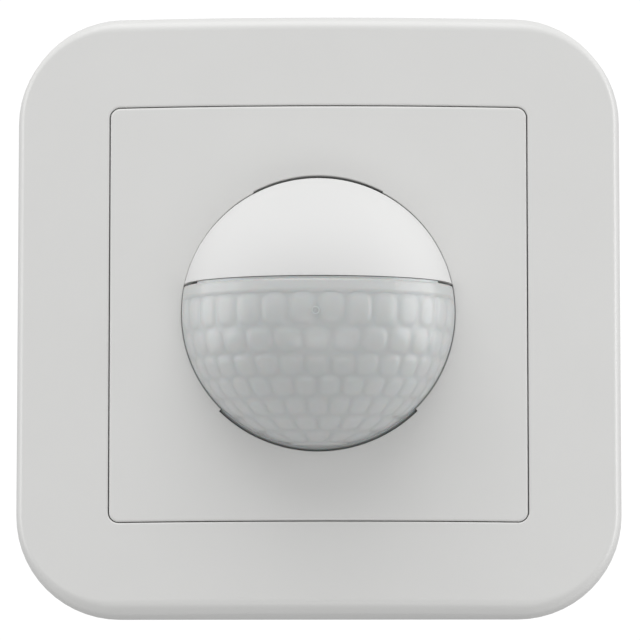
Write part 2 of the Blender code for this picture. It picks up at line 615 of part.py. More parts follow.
def support_ring():
    """The steel ring on the wall, with box-screw slots, claw lugs and the insert's opening."""
    plate = block(RING_SIDE, RING_SIDE, 0.0, RING_THICKNESS, RING_CORNER)
    ring = place("support_ring", plate, STEEL)
    past = RING_THICKNESS + GAP
    opening = block(NECK_WIDTH + 2 * GAP, NECK_HEIGHT + 2 * GAP, -GAP, past, 2.0 * MM)
    cut(ring, place("ring_opening_cutter", opening, None))
    reach = BOX_SCREW_SPACING / 2
    short, long = BOX_SLOT
    slots = ((reach, 0.0, short, long), (-reach, 0.0, short, long),
             (0.0, reach, long, short), (0.0, -reach, long, short))
    for index, (x, z, width, height) in enumerate(slots):
        shape = block(width, height, -GAP, past, short * 0.45, (x, z))
        cut(ring, place(f"box_slot_{index}", shape, None))
    for index, side in enumerate((-1, 1)):
        spot = (side * CLAW_SCREW_X, 0.0)
        hole = prism(circle(CLAW_SCREW + GAP, SMALL_STEPS, spot), -GAP, past)
        cut(ring, place(f"claw_screw_hole_{index}", hole, None))
        corner = (side * CARRIER_SCREW_PLACE, side * CARRIER_SCREW_PLACE)
        hole = prism(circle(CARRIER_SCREW + GAP, SMALL_STEPS, corner), -GAP, past)
        cut(ring, place(f"ring_screw_hole_{index}", hole, None))
        pivot = (side * CLAW_PIVOT[0], CLAW_PIVOT[1])
        for end in (-1, 1):
            near = end * (CLAW_WIDTH / 2 + GAP)
            far = end * (CLAW_WIDTH / 2 + GAP + CLAW_LUG)
            half = CLAW_EYE - 0.2 * MM
            x0, x1 = pivot[0] - half, pivot[0] + half
            foot = pivot[1] - half
            outline = ((x0, foot), (x1, foot), (x1, RING_THICKNESS / 2), (x0, RING_THICKNESS / 2))
            lug = prism(outline, near, far, "z")
            join(ring, place(f"claw_lug_{index}_{end + 1}", lug, None))
        eye = prism(circle(CLAW_PIN + GAP, SMALL_STEPS, pivot), -CLAW_WIDTH, CLAW_WIDTH, "z")
        cut(ring, place(f"claw_lug_bore_{index}", eye, None))


def insert_housing():
    """The box behind the ring: a neck through the ring, a wide rear part, claw pockets."""
    body = block(HOUSING_WIDTH, HOUSING_HEIGHT, -HOUSING_DEPTH, -GAP, 3.0 * MM)
    housing = place("insert_housing", body, PALE_GREY)
    neck = block(NECK_WIDTH, NECK_HEIGHT, -2 * HOUSING_WALL, RING_THICKNESS, 2.0 * MM)
    join(housing, place("neck_guide", neck, None))
    inside = 2 * HOUSING_WALL
    front = block(NECK_WIDTH - inside, NECK_HEIGHT - inside, -NECK_DEPTH - 1.0 * MM, RING_THICKNESS + GAP)
    rear = block(HOUSING_WIDTH - inside, HOUSING_HEIGHT - inside, -HOUSING_DEPTH + HOUSING_BACK, -NECK_DEPTH)
    window = plain_box(TERMINAL_WIDTH + 2 * GAP, TERMINAL_HEIGHT + 2 * GAP,
                       -HOUSING_DEPTH - GAP, -HOUSING_DEPTH + HOUSING_BACK + GAP)
    cut(
        housing,
        place("neck_cavity_cutter", front, None),
        place("rear_cavity_cutter", rear, None),
        place("terminal_window_cutter", window, None),
    )
    for index, side in enumerate((-1, 1)):
        outer = HOUSING_WIDTH / 2 + 1.0 * MM
        inner = NECK_WIDTH / 2
        middle = (side * (outer + inner) / 2, 0.0)
        height = CLAW_WIDTH + 2 * CLAW_LUG + 6 * GAP
        shape = plain_box(outer - inner, height, -NECK_DEPTH + HOUSING_WALL, GAP, middle)
        cut(housing, place(f"claw_pocket_{index}", shape, None))


def insert_cover():
    """The lid that closes the housing's neck, with a slot for the header's pins."""
    inside = 2 * HOUSING_WALL + 2 * GAP
    front = RING_THICKNESS - GAP
    lid = block(NECK_WIDTH - inside, NECK_HEIGHT - inside, front - COVER_THICKNESS, front)
    lid = place("insert_cover", lid, PALE_GREY)
    slot = plain_box(HEADER_WIDTH - 1.0 * MM, 2.6 * MM, front - 2 * COVER_THICKNESS, front + GAP,
                     (0.0, -HEADER_DROP))
    cut(lid, place("cover_slot_cutter", slot, None))


def power_electronics():
    """The mains board, with the relay, supply parts and the header to the sensor board."""
    inside = 2 * HOUSING_WALL + 2 * GAP
    board = plain_box(HOUSING_WIDTH - inside, HOUSING_HEIGHT - inside, POWER_BOARD_REAR, POWER_BOARD_FRONT)
    place("power_board", board, GREEN_BOARD)
    end = NECK_HEIGHT / 2 - HOUSING_WALL - 3 * GAP
    width, height, length = RELAY
    relay = block(width, height, ON_POWER_BOARD, ON_POWER_BOARD + length, 0.5 * MM, (0.0, height / 2 - end))
    place("relay", relay, DARK)
    width, height, length = FILM_CAPACITOR
    film = block(width, height, ON_POWER_BOARD, ON_POWER_BOARD + length, 0.6 * MM, (0.0, end - height / 2))
    place("film_capacitor", film, YELLOW)
    radius, length = CAN_CAPACITOR
    bead = 0.3 * MM
    can = [(radius - bead, 0.0), (radius, bead), (radius, length - bead), (radius - bead, length)]
    can = [(radius, forward + ON_POWER_BOARD) for radius, forward in can]
    place("electrolytic_capacitor", turned(can, 20, CAN_PLACE), BLUE)
    radius, thickness = VARISTOR
    disc = circle(radius, 20, (VARISTOR_PLACE[1], ON_POWER_BOARD + radius + 1.0 * MM))
    disc = prism(disc, VARISTOR_PLACE[0] - thickness / 2, VARISTOR_PLACE[0] + thickness / 2, "x")
    place("varistor", disc, BLUE)
    radius, length = FUSE_RESISTOR
    rod = circle(radius, SMALL_STEPS, (FUSE_PLACE[0], ON_POWER_BOARD + radius + 0.5 * MM))
    rod = prism(rod, FUSE_PLACE[1] - length / 2, FUSE_PLACE[1] + length / 2, "z")
    place("fuse_resistor", rod, GREEN_BOARD)
    spacer_top = RING_THICKNESS - GAP - COVER_THICKNESS - GAP
    spot = (0.0, -HEADER_DROP)
    spacer = plain_box(HEADER_WIDTH, 2.4 * MM, ON_POWER_BOARD, spacer_top, spot)
    header = place("pin_header", spacer, DARK)
    pin_tip = SENSOR_BOARD_REAR - 3 * GAP
    for index in range(HEADER_PINS):
        x = (index - (HEADER_PINS - 1) / 2) * HEADER_PITCH
        pin = plain_box(HEADER_PIN, HEADER_PIN, spacer_top - 1.0 * MM, pin_tip, (x, -HEADER_DROP))
        join(header, place(f"header_pin_{index}", pin, None))


def terminals():
    """The terminal block at the rear, with three clamps, each with a release button."""
    front, rear = TERMINAL_FRONT, TERMINAL_REAR
    terminal = place("terminal_block", plain_box(TERMINAL_WIDTH, TERMINAL_HEIGHT, rear, front), PALE_GREY)
    button_z = -TERMINAL_HEIGHT / 2 + BUTTON_SIZE[1] / 2 + 1.2 * MM
    pocket_front = front - TERMINAL_WALL
    button_front = rear + 3.4 * MM
    for index in range(3):
        x = (index - 1) * TERMINAL_PITCH
        for row, lift in enumerate((4.2, 0.8)):
            hole = prism(circle(WIRE_RADIUS, SMALL_STEPS, (x, lift * MM)), rear - GAP, pocket_front)
            cut(terminal, place(f"wire_entry_{index}_{row}", hole, None))
        spot = (x, button_z)
        pocket = plain_box(BUTTON_SIZE[0] + 2 * GAP, BUTTON_SIZE[1] + 2 * GAP, rear - GAP, pocket_front, spot)
        cut(terminal, place(f"button_pocket_{index}", pocket, None))
        at = (x, rear, button_z)
        button = block(*BUTTON_SIZE, -BUTTON_PROUD, button_front - rear, 0.4 * MM)
        place(f"release_button_{index + 1}", button, ORANGE, at)
        low = button_front + BUTTON_TRAVEL + GAP
        high = pocket_front - GAP
        half = BUTTON_SIZE[1] / 2
        leaf = 0.35 * MM
        outline = (
            (button_z - half, high), (button_z - half, high - leaf), (button_z + half - leaf, high - leaf),
            (button_z - half, low + leaf), (button_z - half, low), (button_z + half, low),
            (button_z + half, low + leaf), (button_z - half + 1.6 * leaf, low + leaf),
            (button_z + half, high - leaf), (button_z + half, high),
        )
        spring = prism(outline, x - 1.2 * MM, x + 1.2 * MM, "x")
        place(f"clamp_spring_{index + 1}", spring, STEEL)


# ---------------------------------------------------------------- claws

def claw_outline(side):
    """The bent strip of a claw, tab and leg, relative to its pivot, in (x, forward)."""
    half = CLAW_SHEET / 2
    slope = math.tan(CLAW_SLOPE)
    end = -CLAW_ELBOW * slope - CLAW_LEG
    off_x, off_forward = half * math.sin(CLAW_SLOPE), half * math.cos(CLAW_SLOPE)
    outer, inner = CLAW_ELBOW + half, CLAW_ELBOW - half
    thickness = half / math.cos(CLAW_SLOPE)
    points = [
        (off_x, off_forward),
        (outer, thickness - outer * slope),
        (outer, end + CLAW_TOOTH),
        (outer + CLAW_TOOTH, end),
        (inner, end),
        (inner, -thickness - inner * slope),
        (-off_x, -off_forward),
    ]
    return [(side * x, forward) for x, forward in points]


def claws():
    """Two claws that spread in the wall box, each worked by a screw and a barrel nut."""
    contact = (CLAW_SHEET / 2 + CLAW_NUT + GAP) / math.cos(CLAW_SLOPE)
    nut_place = CLAW_PIVOT[1] - CLAW_ARM * math.tan(CLAW_SLOPE) - contact
    skew = CLAW_SHEET * math.tan(CLAW_SLOPE)
    half = CLAW_WIDTH / 2
    for name, side in (("left", -1), ("right", 1)):
        pivot = (side * CLAW_PIVOT[0], CLAW_PIVOT[1], 0.0)
        claw = place(f"claw_{name}", prism(claw_outline(side), -half, half, "z"), STEEL, pivot)
        eye = prism(circle(CLAW_EYE, SMALL_STEPS, pivot[:2]), -half, half, "z")
        bore = prism(circle(CLAW_PIN + GAP, SMALL_STEPS, pivot[:2]), -CLAW_WIDTH, CLAW_WIDTH, "z")
        join(claw, place(f"claw_eye_{name}", eye, None))
        cut(claw, place(f"claw_bore_{name}", bore, None))
        x = side * CLAW_SCREW_X
        slot = plain_box(CLAW_SLOT + skew + GAP, CLAW_SLOT, -CLAW_SCREW_LENGTH, 0.0,
                         (x - side * skew / 2, 0.0))
        cut(claw, place(f"claw_slot_{name}", slot, None))
        pin_half = half + 2 * GAP + CLAW_LUG
        pin = prism(circle(CLAW_PIN, SMALL_STEPS, pivot[:2]), -pin_half, pin_half, "z")
        place(f"claw_pin_{name}", pin, STEEL)
        screw(f"claw_screw_{name}", x, 0.0, CLAW_SCREW_HEAD, CLAW_SCREW, RING_THICKNESS + GAP,
              CLAW_SCREW_LENGTH, CLAW_HEAD_HEIGHT)
        at = (x, nut_place, 0.0)
        nut = prism(circle(CLAW_NUT, SMALL_STEPS), -CLAW_NUT_LENGTH / 2, CLAW_NUT_LENGTH / 2, "z")
        nut = place(f"claw_nut_{name}", nut, BRASS, at)
        thread = prism(circle(CLAW_SCREW + GAP, SMALL_STEPS, (x, 0.0)),
                       nut_place - 2 * CLAW_NUT, nut_place + 2 * CLAW_NUT)
        cut(nut, place(f"claw_nut_thread_{name}", thread, None))


cover_frame()
centre_plate()
dome()
head_carrier()
sensor_electronics()
adjusters()
support_ring()
insert_housing()
insert_cover()
power_electronics()
terminals()
claws()
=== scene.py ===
"""Looks of a flush wall motion sensor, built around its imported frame.

+Y runs into the wall, the front faces -Y and +Z is up.  A length called forward, or f, is a
distance in front of the wall, so it is -Y.
"""
import json
import logging
import math
from dataclasses import dataclass
from enum import Enum
from typing import Callable, Iterable, Sequence

import bmesh
import bpy
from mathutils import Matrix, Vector

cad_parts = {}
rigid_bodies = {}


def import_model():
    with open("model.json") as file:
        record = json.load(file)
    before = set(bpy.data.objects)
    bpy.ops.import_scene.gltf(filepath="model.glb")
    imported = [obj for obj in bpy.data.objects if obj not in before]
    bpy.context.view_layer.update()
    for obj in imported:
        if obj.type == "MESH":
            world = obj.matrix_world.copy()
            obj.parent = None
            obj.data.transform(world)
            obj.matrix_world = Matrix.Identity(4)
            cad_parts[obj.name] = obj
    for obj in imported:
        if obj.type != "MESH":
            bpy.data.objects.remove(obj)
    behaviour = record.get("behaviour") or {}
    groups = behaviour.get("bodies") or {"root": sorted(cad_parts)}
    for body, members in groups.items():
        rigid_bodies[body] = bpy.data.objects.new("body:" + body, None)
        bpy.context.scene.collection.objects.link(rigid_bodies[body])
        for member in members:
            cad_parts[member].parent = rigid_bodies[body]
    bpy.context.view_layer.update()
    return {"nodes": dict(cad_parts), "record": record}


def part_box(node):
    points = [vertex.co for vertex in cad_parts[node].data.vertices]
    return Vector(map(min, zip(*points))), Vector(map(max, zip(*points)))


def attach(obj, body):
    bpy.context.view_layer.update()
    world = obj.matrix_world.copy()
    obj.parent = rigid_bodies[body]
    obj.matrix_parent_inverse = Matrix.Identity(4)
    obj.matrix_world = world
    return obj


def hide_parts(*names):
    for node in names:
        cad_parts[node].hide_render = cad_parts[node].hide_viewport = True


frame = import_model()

MM = 0.001
CREASE = 35.0  # degrees past which an edge stays sharp
LOG = logging.getLogger("motion_sensor")
BEHAVIOUR = frame["record"]["behaviour"]
BODY_OF = {node: body for body, nodes in BEHAVIOUR["bodies"].items() for node in nodes}
SLOT_OF = {row["node"]: row["material_slot"] for row in frame["record"]["subparts"]}

Colour = tuple[float, float, float]
Point2 = tuple[float, float]
Loop = list[Vector]


# ---------------------------------------------------------------- node graphs

class Wire:
    """An output socket that can be used in a sum."""

    def __init__(self, graph: "Graph", socket: bpy.types.NodeSocket) -> None:
        """Keep the graph and the socket."""
        self.graph = graph
        self.socket = socket

    def _math(self, operation: str, other: "Wire | float", reflected: bool = False) -> "Wire":
        """Join this socket and another value in a Math node.

        Args:
            operation: the Math node's operation.
            other: a socket or a number.
            reflected: whether the other value comes first.

        Returns:
            The result's socket.
        """
        pair = (other, self) if reflected else (self, other)
        return self.graph.node(self.graph.math_kind, {"operation": operation}, {0: pair[0], 1: pair[1]})

    def __add__(self, other: "Wire | float") -> "Wire":
        """Sum."""
        return self._math("ADD", other)

    def __radd__(self, other: float) -> "Wire":
        """Sum with a number first."""
        return self._math("ADD", other, True)

    def __sub__(self, other: "Wire | float") -> "Wire":
        """Difference."""
        return self._math("SUBTRACT", other)

    def __rsub__(self, other: float) -> "Wire":
        """Difference from a number."""
        return self._math("SUBTRACT", other, True)

    def __mul__(self, other: "Wire | float") -> "Wire":
        """Product."""
        return self._math("MULTIPLY", other)

    def __rmul__(self, other: float) -> "Wire":
        """Product with a number first."""
        return self._math("MULTIPLY", other, True)

    def output(self, name: str) -> "Wire":
        """Another output of the same node."""
        return Wire(self.graph, self.socket.node.outputs[name])


class Graph:
    """A node tree, for a material or for geometry, that grows by one method."""

    math_kind = "ShaderNodeMath"

    def __init__(self, tree: bpy.types.NodeTree) -> None:
        """Keep the tree."""
        self.tree = tree

    def node(self, kind: str, settings: dict | None = None, sockets: dict | None = None) -> Wire:
        """Add a node.

        Args:
            kind: the node's type name.
            settings: attributes of the node, set before its sockets.
            sockets: values or wires, by the input socket's name or number.

        Returns:
            The node's first shown output, or its first input where it has none.
        """
        made = self.tree.nodes.new(kind)
        for name, value in (settings or {}).items():
            setattr(made, name, value)
        for name, value in (sockets or {}).items():
            self.feed(made.inputs[name], value)
        shown = [socket for socket in made.outputs if socket.enabled] or list(made.inputs)
        return Wire(self, shown[0])

    def feed(self, socket: bpy.types.NodeSocket, value: object) -> None:
        """Link a wire to an input socket, or set its value."""
        if isinstance(value, Wire):
            self.tree.links.new(value.socket, socket)
        else:
            socket.default_value = value


class MaterialGraph(Graph):
    """The nodes of one material."""

    def __init__(self, name: str) -> None:
        """Make a material with a Principled shader."""
        self.material = bpy.data.materials.new(name)
        self.material.use_nodes = True
        super().__init__(self.material.node_tree)
        self.shader = self.tree.nodes["Principled BSDF"]

    def set(self, **values: object) -> None:
        """Set the shader's inputs; an underscore in a name stands for a space."""
        for name, value in values.items():
            self.feed(self.shader.inputs[name.replace("_", " ")], value)

    def place(self) -> Wire:
        """Object coordinates, in metres."""
        return self.node("ShaderNodeTexCoord").output("Object")

    def noise(self, size: float, detail: float = 2.0, at: Wire | None = None) -> Wire:
        """Noise from 0 to 1 whose lumps are about `size` metres across."""
        sockets = {"Vector": at or self.place(), "Scale": 1.0 / size, "Detail": detail}
        return self.node("ShaderNodeTexNoise", {"normalize": True}, sockets)

    def attribute(self, name: str) -> Wire:
        """A number stored on the mesh's points."""
        return self.node("ShaderNodeAttribute", {"attribute_name": name}).output("Fac")

    def blend(self, factor: Wire | float, low: object, high: object) -> Wire:
        """A colour between two colours, each a tuple or a wire."""
        ends = [value if isinstance(value, Wire) else (*value, 1.0) for value in (low, high)]
        settings = {"data_type": "RGBA", "blend_type": "MIX", "clamp_factor": True}
        return self.node("ShaderNodeMix", settings, {0: factor, 6: ends[0], 7: ends[1]})

    def ramp(self, value: Wire, start: float, end: float) -> Wire:
        """A smooth step from 0 at `start` to 1 at `end`."""
        settings = {"interpolation_type": "SMOOTHSTEP", "clamp": True}
        return self.node("ShaderNodeMapRange", settings, {0: value, 1: start, 2: end, 3: 0.0, 4: 1.0})

    def bump(self, height: Wire, depth: float, strength: float = 1.0) -> None:
        """Feed a relief of `depth` metres to the shader's normal."""
        sockets = {"Height": height, "Distance": depth, "Strength": strength}
        self.set(Normal=self.node("ShaderNodeBump", None, sockets))


def tinted(colour: Colour, share: float) -> Colour:
    """A colour made lighter or darker by a share."""
    return tuple(min(1.0, part * share) for part in colour)


# ---------------------------------------------------------------- finishes

@dataclass(frozen=True)
class Finish:
    """A surface: its colour, and how rough it is."""

    name: str
    colour: Colour
    roughness: float

    def material(self) -> bpy.types.Material:
        """The finish's material, made on its first use."""
        name = f"{self.name}_finish"
        known = bpy.data.materials.get(name)
        if known:
            return known
        graph = MaterialGraph(name)
        graph.set(Base_Color=(*self.colour, 1.0), Roughness=self.roughness)
        self.dress(graph)
        return graph.material

    def dress(self, graph: MaterialGraph) -> None:
        """Add what changes over the surface."""
        raise NotImplementedError


@dataclass(frozen=True)
class MouldedPlastic(Finish):
    """Injection moulded plastic with a fine spark-eroded grain."""

    grain: float = 0.16 * MM
    depth: float = 0.004 * MM
    mottle: float = 0.02
    coat: float = 0.0
    soft: float = 0.0

    def dress(self, graph: MaterialGraph) -> None:
        """Grain in the relief and the gloss, and slow flow marks in the colour."""
        flow = graph.noise(14.0 * MM, 3.0)
        low, high = tinted(self.colour, 1 - self.mottle), tinted(self.colour, 1 + self.mottle)
        grain = graph.noise(self.grain, 3.0)
        graph.set(
            Base_Color=graph.blend(flow, low, high),
            Roughness=self.roughness - 0.05 + grain * 0.06 + flow * 0.04,
            Coat_Weight=self.coat,
            Subsurface_Weight=self.soft,
            Subsurface_Scale=0.6 * MM,
        )
        graph.bump(grain, self.depth)


@dataclass(frozen=True)
class MilkyLens(Finish):
    """Milky polyethylene with painted light and shade: lighter towards the sides and low down, darker in the
    middle where the dark inside shows through, and painted shade along the soft cell borders.
    """

    # painted shade: the darker colour along the cell borders, where shade falls in the grooves between cells
    border: Colour = (0.36, 0.37, 0.375)
    # painted light: the lighter colour towards the sides and low down, where less of the dark inside shows
    # through
    side: Colour = (0.60, 0.61, 0.61)
    band: Colour = (0.545, 0.555, 0.55)
    # how much of the painted groove shade is laid on the cell borders
    painted_groove_shade_share: float = 0.28

    def dress(self, graph: MaterialGraph) -> None:
        """Colour from values stored on the lens: painted shade on the cell borders, painted light towards the
        sides and low down, and the plain band.
        """
        cloud = graph.noise(6.0 * MM, 2.0)
        middle = graph.blend(cloud, tinted(self.colour, 0.97), tinted(self.colour, 1.03))
        # painted light: lighter towards the sides and low down on the lens
        body = graph.blend(graph.attribute("side"), middle, self.side)
        body = graph.blend(graph.attribute("band"), body, self.band)
        # painted shade along the cell borders
        body = graph.blend(graph.attribute("border") * self.painted_groove_shade_share, body, self.border)
        graph.set(
            Base_Color=body,
            Roughness=self.roughness + cloud * 0.05,
            Coat_Weight=0.6,
            Coat_Roughness=0.12,
            Subsurface_Weight=0.25,
            Subsurface_Scale=1.0 * MM,
        )
        graph.bump(graph.noise(0.5 * MM), 0.002 * MM)


@dataclass(frozen=True)
class ClearSkin(Finish):
    """The lens's smooth outer face."""

    alpha: float = 0.16

    def dress(self, graph: MaterialGraph) -> None:
        """A faint haze and a moulding's slow ripple."""
        haze = graph.noise(9.0 * MM, 2.0)
        graph.set(Alpha=self.alpha - 0.03 + haze * 0.06, Roughness=self.roughness + haze * 0.04)
        graph.bump(graph.noise(5.0 * MM), 0.01 * MM)


@dataclass(frozen=True)
class Metal(Finish):
    """Rolled or plated metal, with crystals of zinc where `spangle` is more than 0."""

    spangle: float = 0.0
    streak: float = 1.0

    def dress(self, graph: MaterialGraph) -> None:
        """Crystals, rolling marks and slightly duller patches."""
        place = graph.place()
        stretched = graph.node("ShaderNodeMapping", None, {0: place, 3: (1.0, 1.0, 12.0 * self.streak)})
        rolled = graph.noise(3.0 * MM, 4.0, stretched)
        cells = graph.node("ShaderNodeTexVoronoi", None, {"Vector": place, "Scale": 1 / (2.2 * MM)})
        crystal = graph.node("ShaderNodeSeparateColor", None, {0: cells.output("Color")})
        dull = graph.noise(8.0 * MM, 3.0)
        shade = rolled * (1 - self.spangle) * 0.5 + crystal * self.spangle + dull * 0.3
        graph.set(
            Base_Color=graph.blend(shade, tinted(self.colour, 0.82), tinted(self.colour, 1.1)),
            Roughness=self.roughness + rolled * 0.12 + crystal * self.spangle * 0.12,
            Metallic=1.0,
        )
        graph.bump(rolled, 0.004 * MM)


@dataclass(frozen=True)
class SolderMask(Finish):
    """A printed board: lacquer over copper tracks."""

    track: Colour = (0.03, 0.22, 0.09)

    def dress(self, graph: MaterialGraph) -> None:
        """Tracks that run across the board's face, raised by the copper's thickness."""
        turned = graph.node("ShaderNodeMapping", None, {0: graph.place(), 2: (math.pi / 2, 0.0, 0.0)})
        settings = {"offset": 0.37, "squash": 1.4, "squash_frequency": 3}
        sockets = {"Vector": turned, "Scale": 160.0, "Mortar Size": 0.035, "Mortar Smooth": 0.2}
        bricks = graph.node("ShaderNodeTexBrick", settings, sockets).output("Fac")
        cloth = graph.noise(0.4 * MM)
        graph.set(
            Base_Color=graph.blend(bricks, self.colour, self.track),
            Roughness=self.roughness + cloth * 0.1,
            Coat_Weight=0.3,
        )
        graph.bump(bricks + cloth * 0.3, 0.03 * MM)


@dataclass(frozen=True)
class Banded(Finish):
    """A lacquered part with rings of another colour round its long axis."""

    ring: Colour = (0.45, 0.05, 0.03)
    pitch: float = 2.0 * MM

    def dress(self, graph: MaterialGraph) -> None:
        """Rings of lacquer, a little proud."""
        settings = {"wave_type": "BANDS", "bands_direction": "Z"}
        sockets = {"Vector": graph.place(), "Scale": 0.314 / self.pitch, "Distortion": 0.0}
        wave = graph.node("ShaderNodeTexWave", settings, sockets).output("Fac")
        ring = graph.ramp(wave, 0.82, 0.9)
        lacquer = graph.noise(0.8 * MM)
        graph.set(
            Base_Color=graph.blend(ring, self.colour, self.ring),
            Roughness=self.roughness + lacquer * 0.1,
        )
        graph.bump(ring + lacquer * 0.2, 0.02 * MM)


@dataclass(frozen=True)
class ClearResin(Finish):
    """Cast epoxy of a small light or light sensor."""

    def dress(self, graph: MaterialGraph) -> None:
        """A faint cloud in a glassy cast."""
        cloud = graph.noise(1.0 * MM)
        graph.set(
            Base_Color=graph.blend(cloud, tinted(self.colour, 0.9), self.colour),
            Roughness=self.roughness + cloud * 0.05,
            Coat_Weight=0.8,
        )
        graph.bump(cloud, 0.005 * MM)


class Surface(Enum):
    """Every finish of the sensor, by the record's slot where it has one."""

    fascia_white = MouldedPlastic("fascia_white", (0.695, 0.695, 0.685), 0.36)
    hood_white = MouldedPlastic("hood_white", (0.682, 0.682, 0.678), 0.62, mottle=0.01)
    # the lens's middle colour, darker than its painted side light, as painted shade where the dark inside
    # shows through
    lens_milky = MilkyLens("lens_milky", (0.535, 0.548, 0.546), 0.30)
    lens_skin = ClearSkin("lens_skin", (0.80, 0.82, 0.82), 0.08)
    carrier_grey = MouldedPlastic("carrier_grey", (0.46, 0.47, 0.47), 0.5, grain=0.22 * MM)
    insert_grey = MouldedPlastic("insert_grey", (0.55, 0.56, 0.56), 0.48, grain=0.2 * MM)
    zinc_steel = Metal("zinc_steel", (0.60, 0.61, 0.62), 0.30, spangle=0.5)
    spring_steel = Metal("spring_steel", (0.56, 0.56, 0.55), 0.22)
    sensor_can = Metal("sensor_can", (0.68, 0.67, 0.62), 0.2)
    brass = Metal("brass", (0.72, 0.55, 0.26), 0.28)
    circuit_board = SolderMask("circuit_board", (0.012, 0.12, 0.045), 0.35)
    black_plastic = MouldedPlastic("black_plastic", (0.025, 0.025, 0.028), 0.45, mottle=0.1)
    sensor_window = MouldedPlastic("sensor_window", (0.02, 0.018, 0.03), 0.12, depth=0.001 * MM, coat=1.0)
    blue_plastic = MouldedPlastic("blue_plastic", (0.02, 0.09, 0.36), 0.38, mottle=0.06)
    orange_plastic = MouldedPlastic("orange_plastic", (0.72, 0.20, 0.03), 0.42, mottle=0.04)
    yellow_film = MouldedPlastic("yellow_film", (0.72, 0.50, 0.05), 0.35, mottle=0.05, coat=0.3)
    resistor_coat = Banded("resistor_coat", (0.10, 0.26, 0.18), 0.4)
    clear_epoxy = ClearResin("clear_epoxy", (0.82, 0.86, 0.88), 0.08)
    printed_mark = MouldedPlastic("printed_mark", (0.10, 0.10, 0.11), 0.55, mottle=0.08)
    solder = Metal("solder", (0.66, 0.66, 0.64), 0.25, streak=0.1)

    @classmethod
    def of(cls, node: str) -> bpy.types.Material:
        """The material of a frame node's slot."""
        return cls[SLOT_OF[node]].value.material()


# ---------------------------------------------------------------- meshes

def as_object(name: str, shape: bmesh.types.BMesh, material: bpy.types.Material,
              crease: float = CREASE, recalculate: bool = True) -> bpy.types.Object:
    """Make an object from a shape that is already in its place.

    Args:
        name: the piece's name.
        shape: its faces, which are freed.
        material: its finish.
        crease: the angle in degrees past which an edge stays sharp.
        recalculate: whether the faces are turned outwards first.

    Returns:
        The object, at the origin.
    """
    if recalculate:
        bmesh.ops.recalc_face_normals(shape, faces=shape.faces)
    mesh = bpy.data.meshes.new(name)
    shape.to_mesh(mesh)
    shape.free()
    mesh.shade_smooth()
    mesh.set_sharp_from_angle(angle=math.radians(crease))
    mesh.materials.append(material)
    made = bpy.data.objects.new(name, mesh)
    bpy.context.scene.collection.objects.link(made)
    return made


def settle(piece: bpy.types.Object, like: str, *stands_for: str) -> bpy.types.Object:
    """Let a piece ride on a frame node's body, and hide the nodes that it stands for.

    Args:
        piece: the finished object.
        like: the node whose body it rides on.
        stands_for: the nodes that it replaces.

    Returns:
        The piece.
    """
    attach(piece, BODY_OF[like])
    if stands_for:
        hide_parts(*stands_for)
    LOG.info("%s: %d faces, rides on %s", piece.name, len(piece.data.polygons), BODY_OF[like])
    return piece


def baked(host: bpy.types.Object) -> bpy.types.Object:
    """Turn an object's modifiers into plain mesh, and drop them."""
    graph = bpy.context.evaluated_depsgraph_get()
    mesh = bpy.data.meshes.new_from_object(host.evaluated_get(graph))
    host.modifiers.clear()
    host.data = mesh
    return host


def carved(piece: bpy.types.Object, cutters: Sequence[bpy.types.Object]) -> bpy.types.Object:
    """Cut other shapes out of a piece, and remove them."""
    for cutter in cutters:
        step = piece.modifiers.new("recess", "BOOLEAN")
        step.operation, step.solver, step.object = "DIFFERENCE", "EXACT", cutter
    baked(piece)
    piece.data.set_sharp_from_angle(angle=math.radians(CREASE))
    for cutter in cutters:
        bpy.data.objects.remove(cutter)
    return piece


def loft(loops: Sequence[Loop], closed: bool = False) -> bmesh.types.BMesh:
    """Skin equal loops of points; the ends are capped unless the skin is closed."""
    shape = bmesh.new()
    rows = [[shape.verts.new(point) for point in loop] for loop in loops]
    pairs = list(zip(rows, rows[1:])) + ([(rows[-1], rows[0])] if closed else [])
    for first, second in pairs:
        for index, corner in enumerate(first):
            after = (index + 1) % len(first)
            shape.faces.new((corner, first[after], second[after], second[index]))
    if not closed:
        shape.faces.new(rows[0])
        shape.faces.new(rows[-1])
    return shape


def lathe(profile: Iterable[Point2], centre: Point2 = (0.0, 0.0), steps: int = 64,
          closed: bool = False) -> bmesh.types.BMesh:
    """Turn (radius, forward) pairs about a forward axis through `centre` (x, z)."""
    loops = []
    for radius, forward in profile:
        turns = [math.tau * step / steps for step in range(steps)]
        loops.append([
            Vector((centre[0] + radius * math.cos(a), -forward, centre[1] + radius * math.sin(a)))
            for a in turns
        ])
    return loft(loops, closed)


def arc(centre: Point2, radius: float, start: float, end: float, steps: int) -> list[Point2]:
    """Points of an arc, with its angles in degrees."""
    angles = [math.radians(start + (end - start) * step / steps) for step in range(steps + 1)]
    return [(centre[0] + radius * math.cos(a), centre[1] + radius * math.sin(a)) for a in angles]


def outline(half_width: float, half_height: float, radius: float, corner_steps: int = 14,
            side_steps: int = 16) -> list[Point2]:
    """A rounded rectangle with divided sides, in (x, z)."""
    points: list[Point2] = []
    for side_x, side_z, start in ((1, 1, 0), (-1, 1, 90), (-1, -1, 180), (1, -1, 270)):
        centre = (side_x * (half_width - radius), side_z * (half_height - radius))
        points += arc(centre, radius, start, start + 90.0, corner_steps)
    full: list[Point2] = []
    for index, point in enumerate(points):
        full.append(point)
        if index % (corner_steps + 1) == corner_steps:
            after = points[(index + 1) % len(points)]
            for step in range(1, side_steps):
                share = step / side_steps
                full.append(tuple(a + (b - a) * share for a, b in zip(point, after)))
    return full


def smooth_step(value: float, start: float, end: float) -> float:
    """A soft step from 0 at `start` to 1 at `end`."""
    share = min(1.0, max(0.0, (value - start) / (end - start)))
    return share * share * (3.0 - 2.0 * share)


# ---------------------------------------------------------------- geometry trees

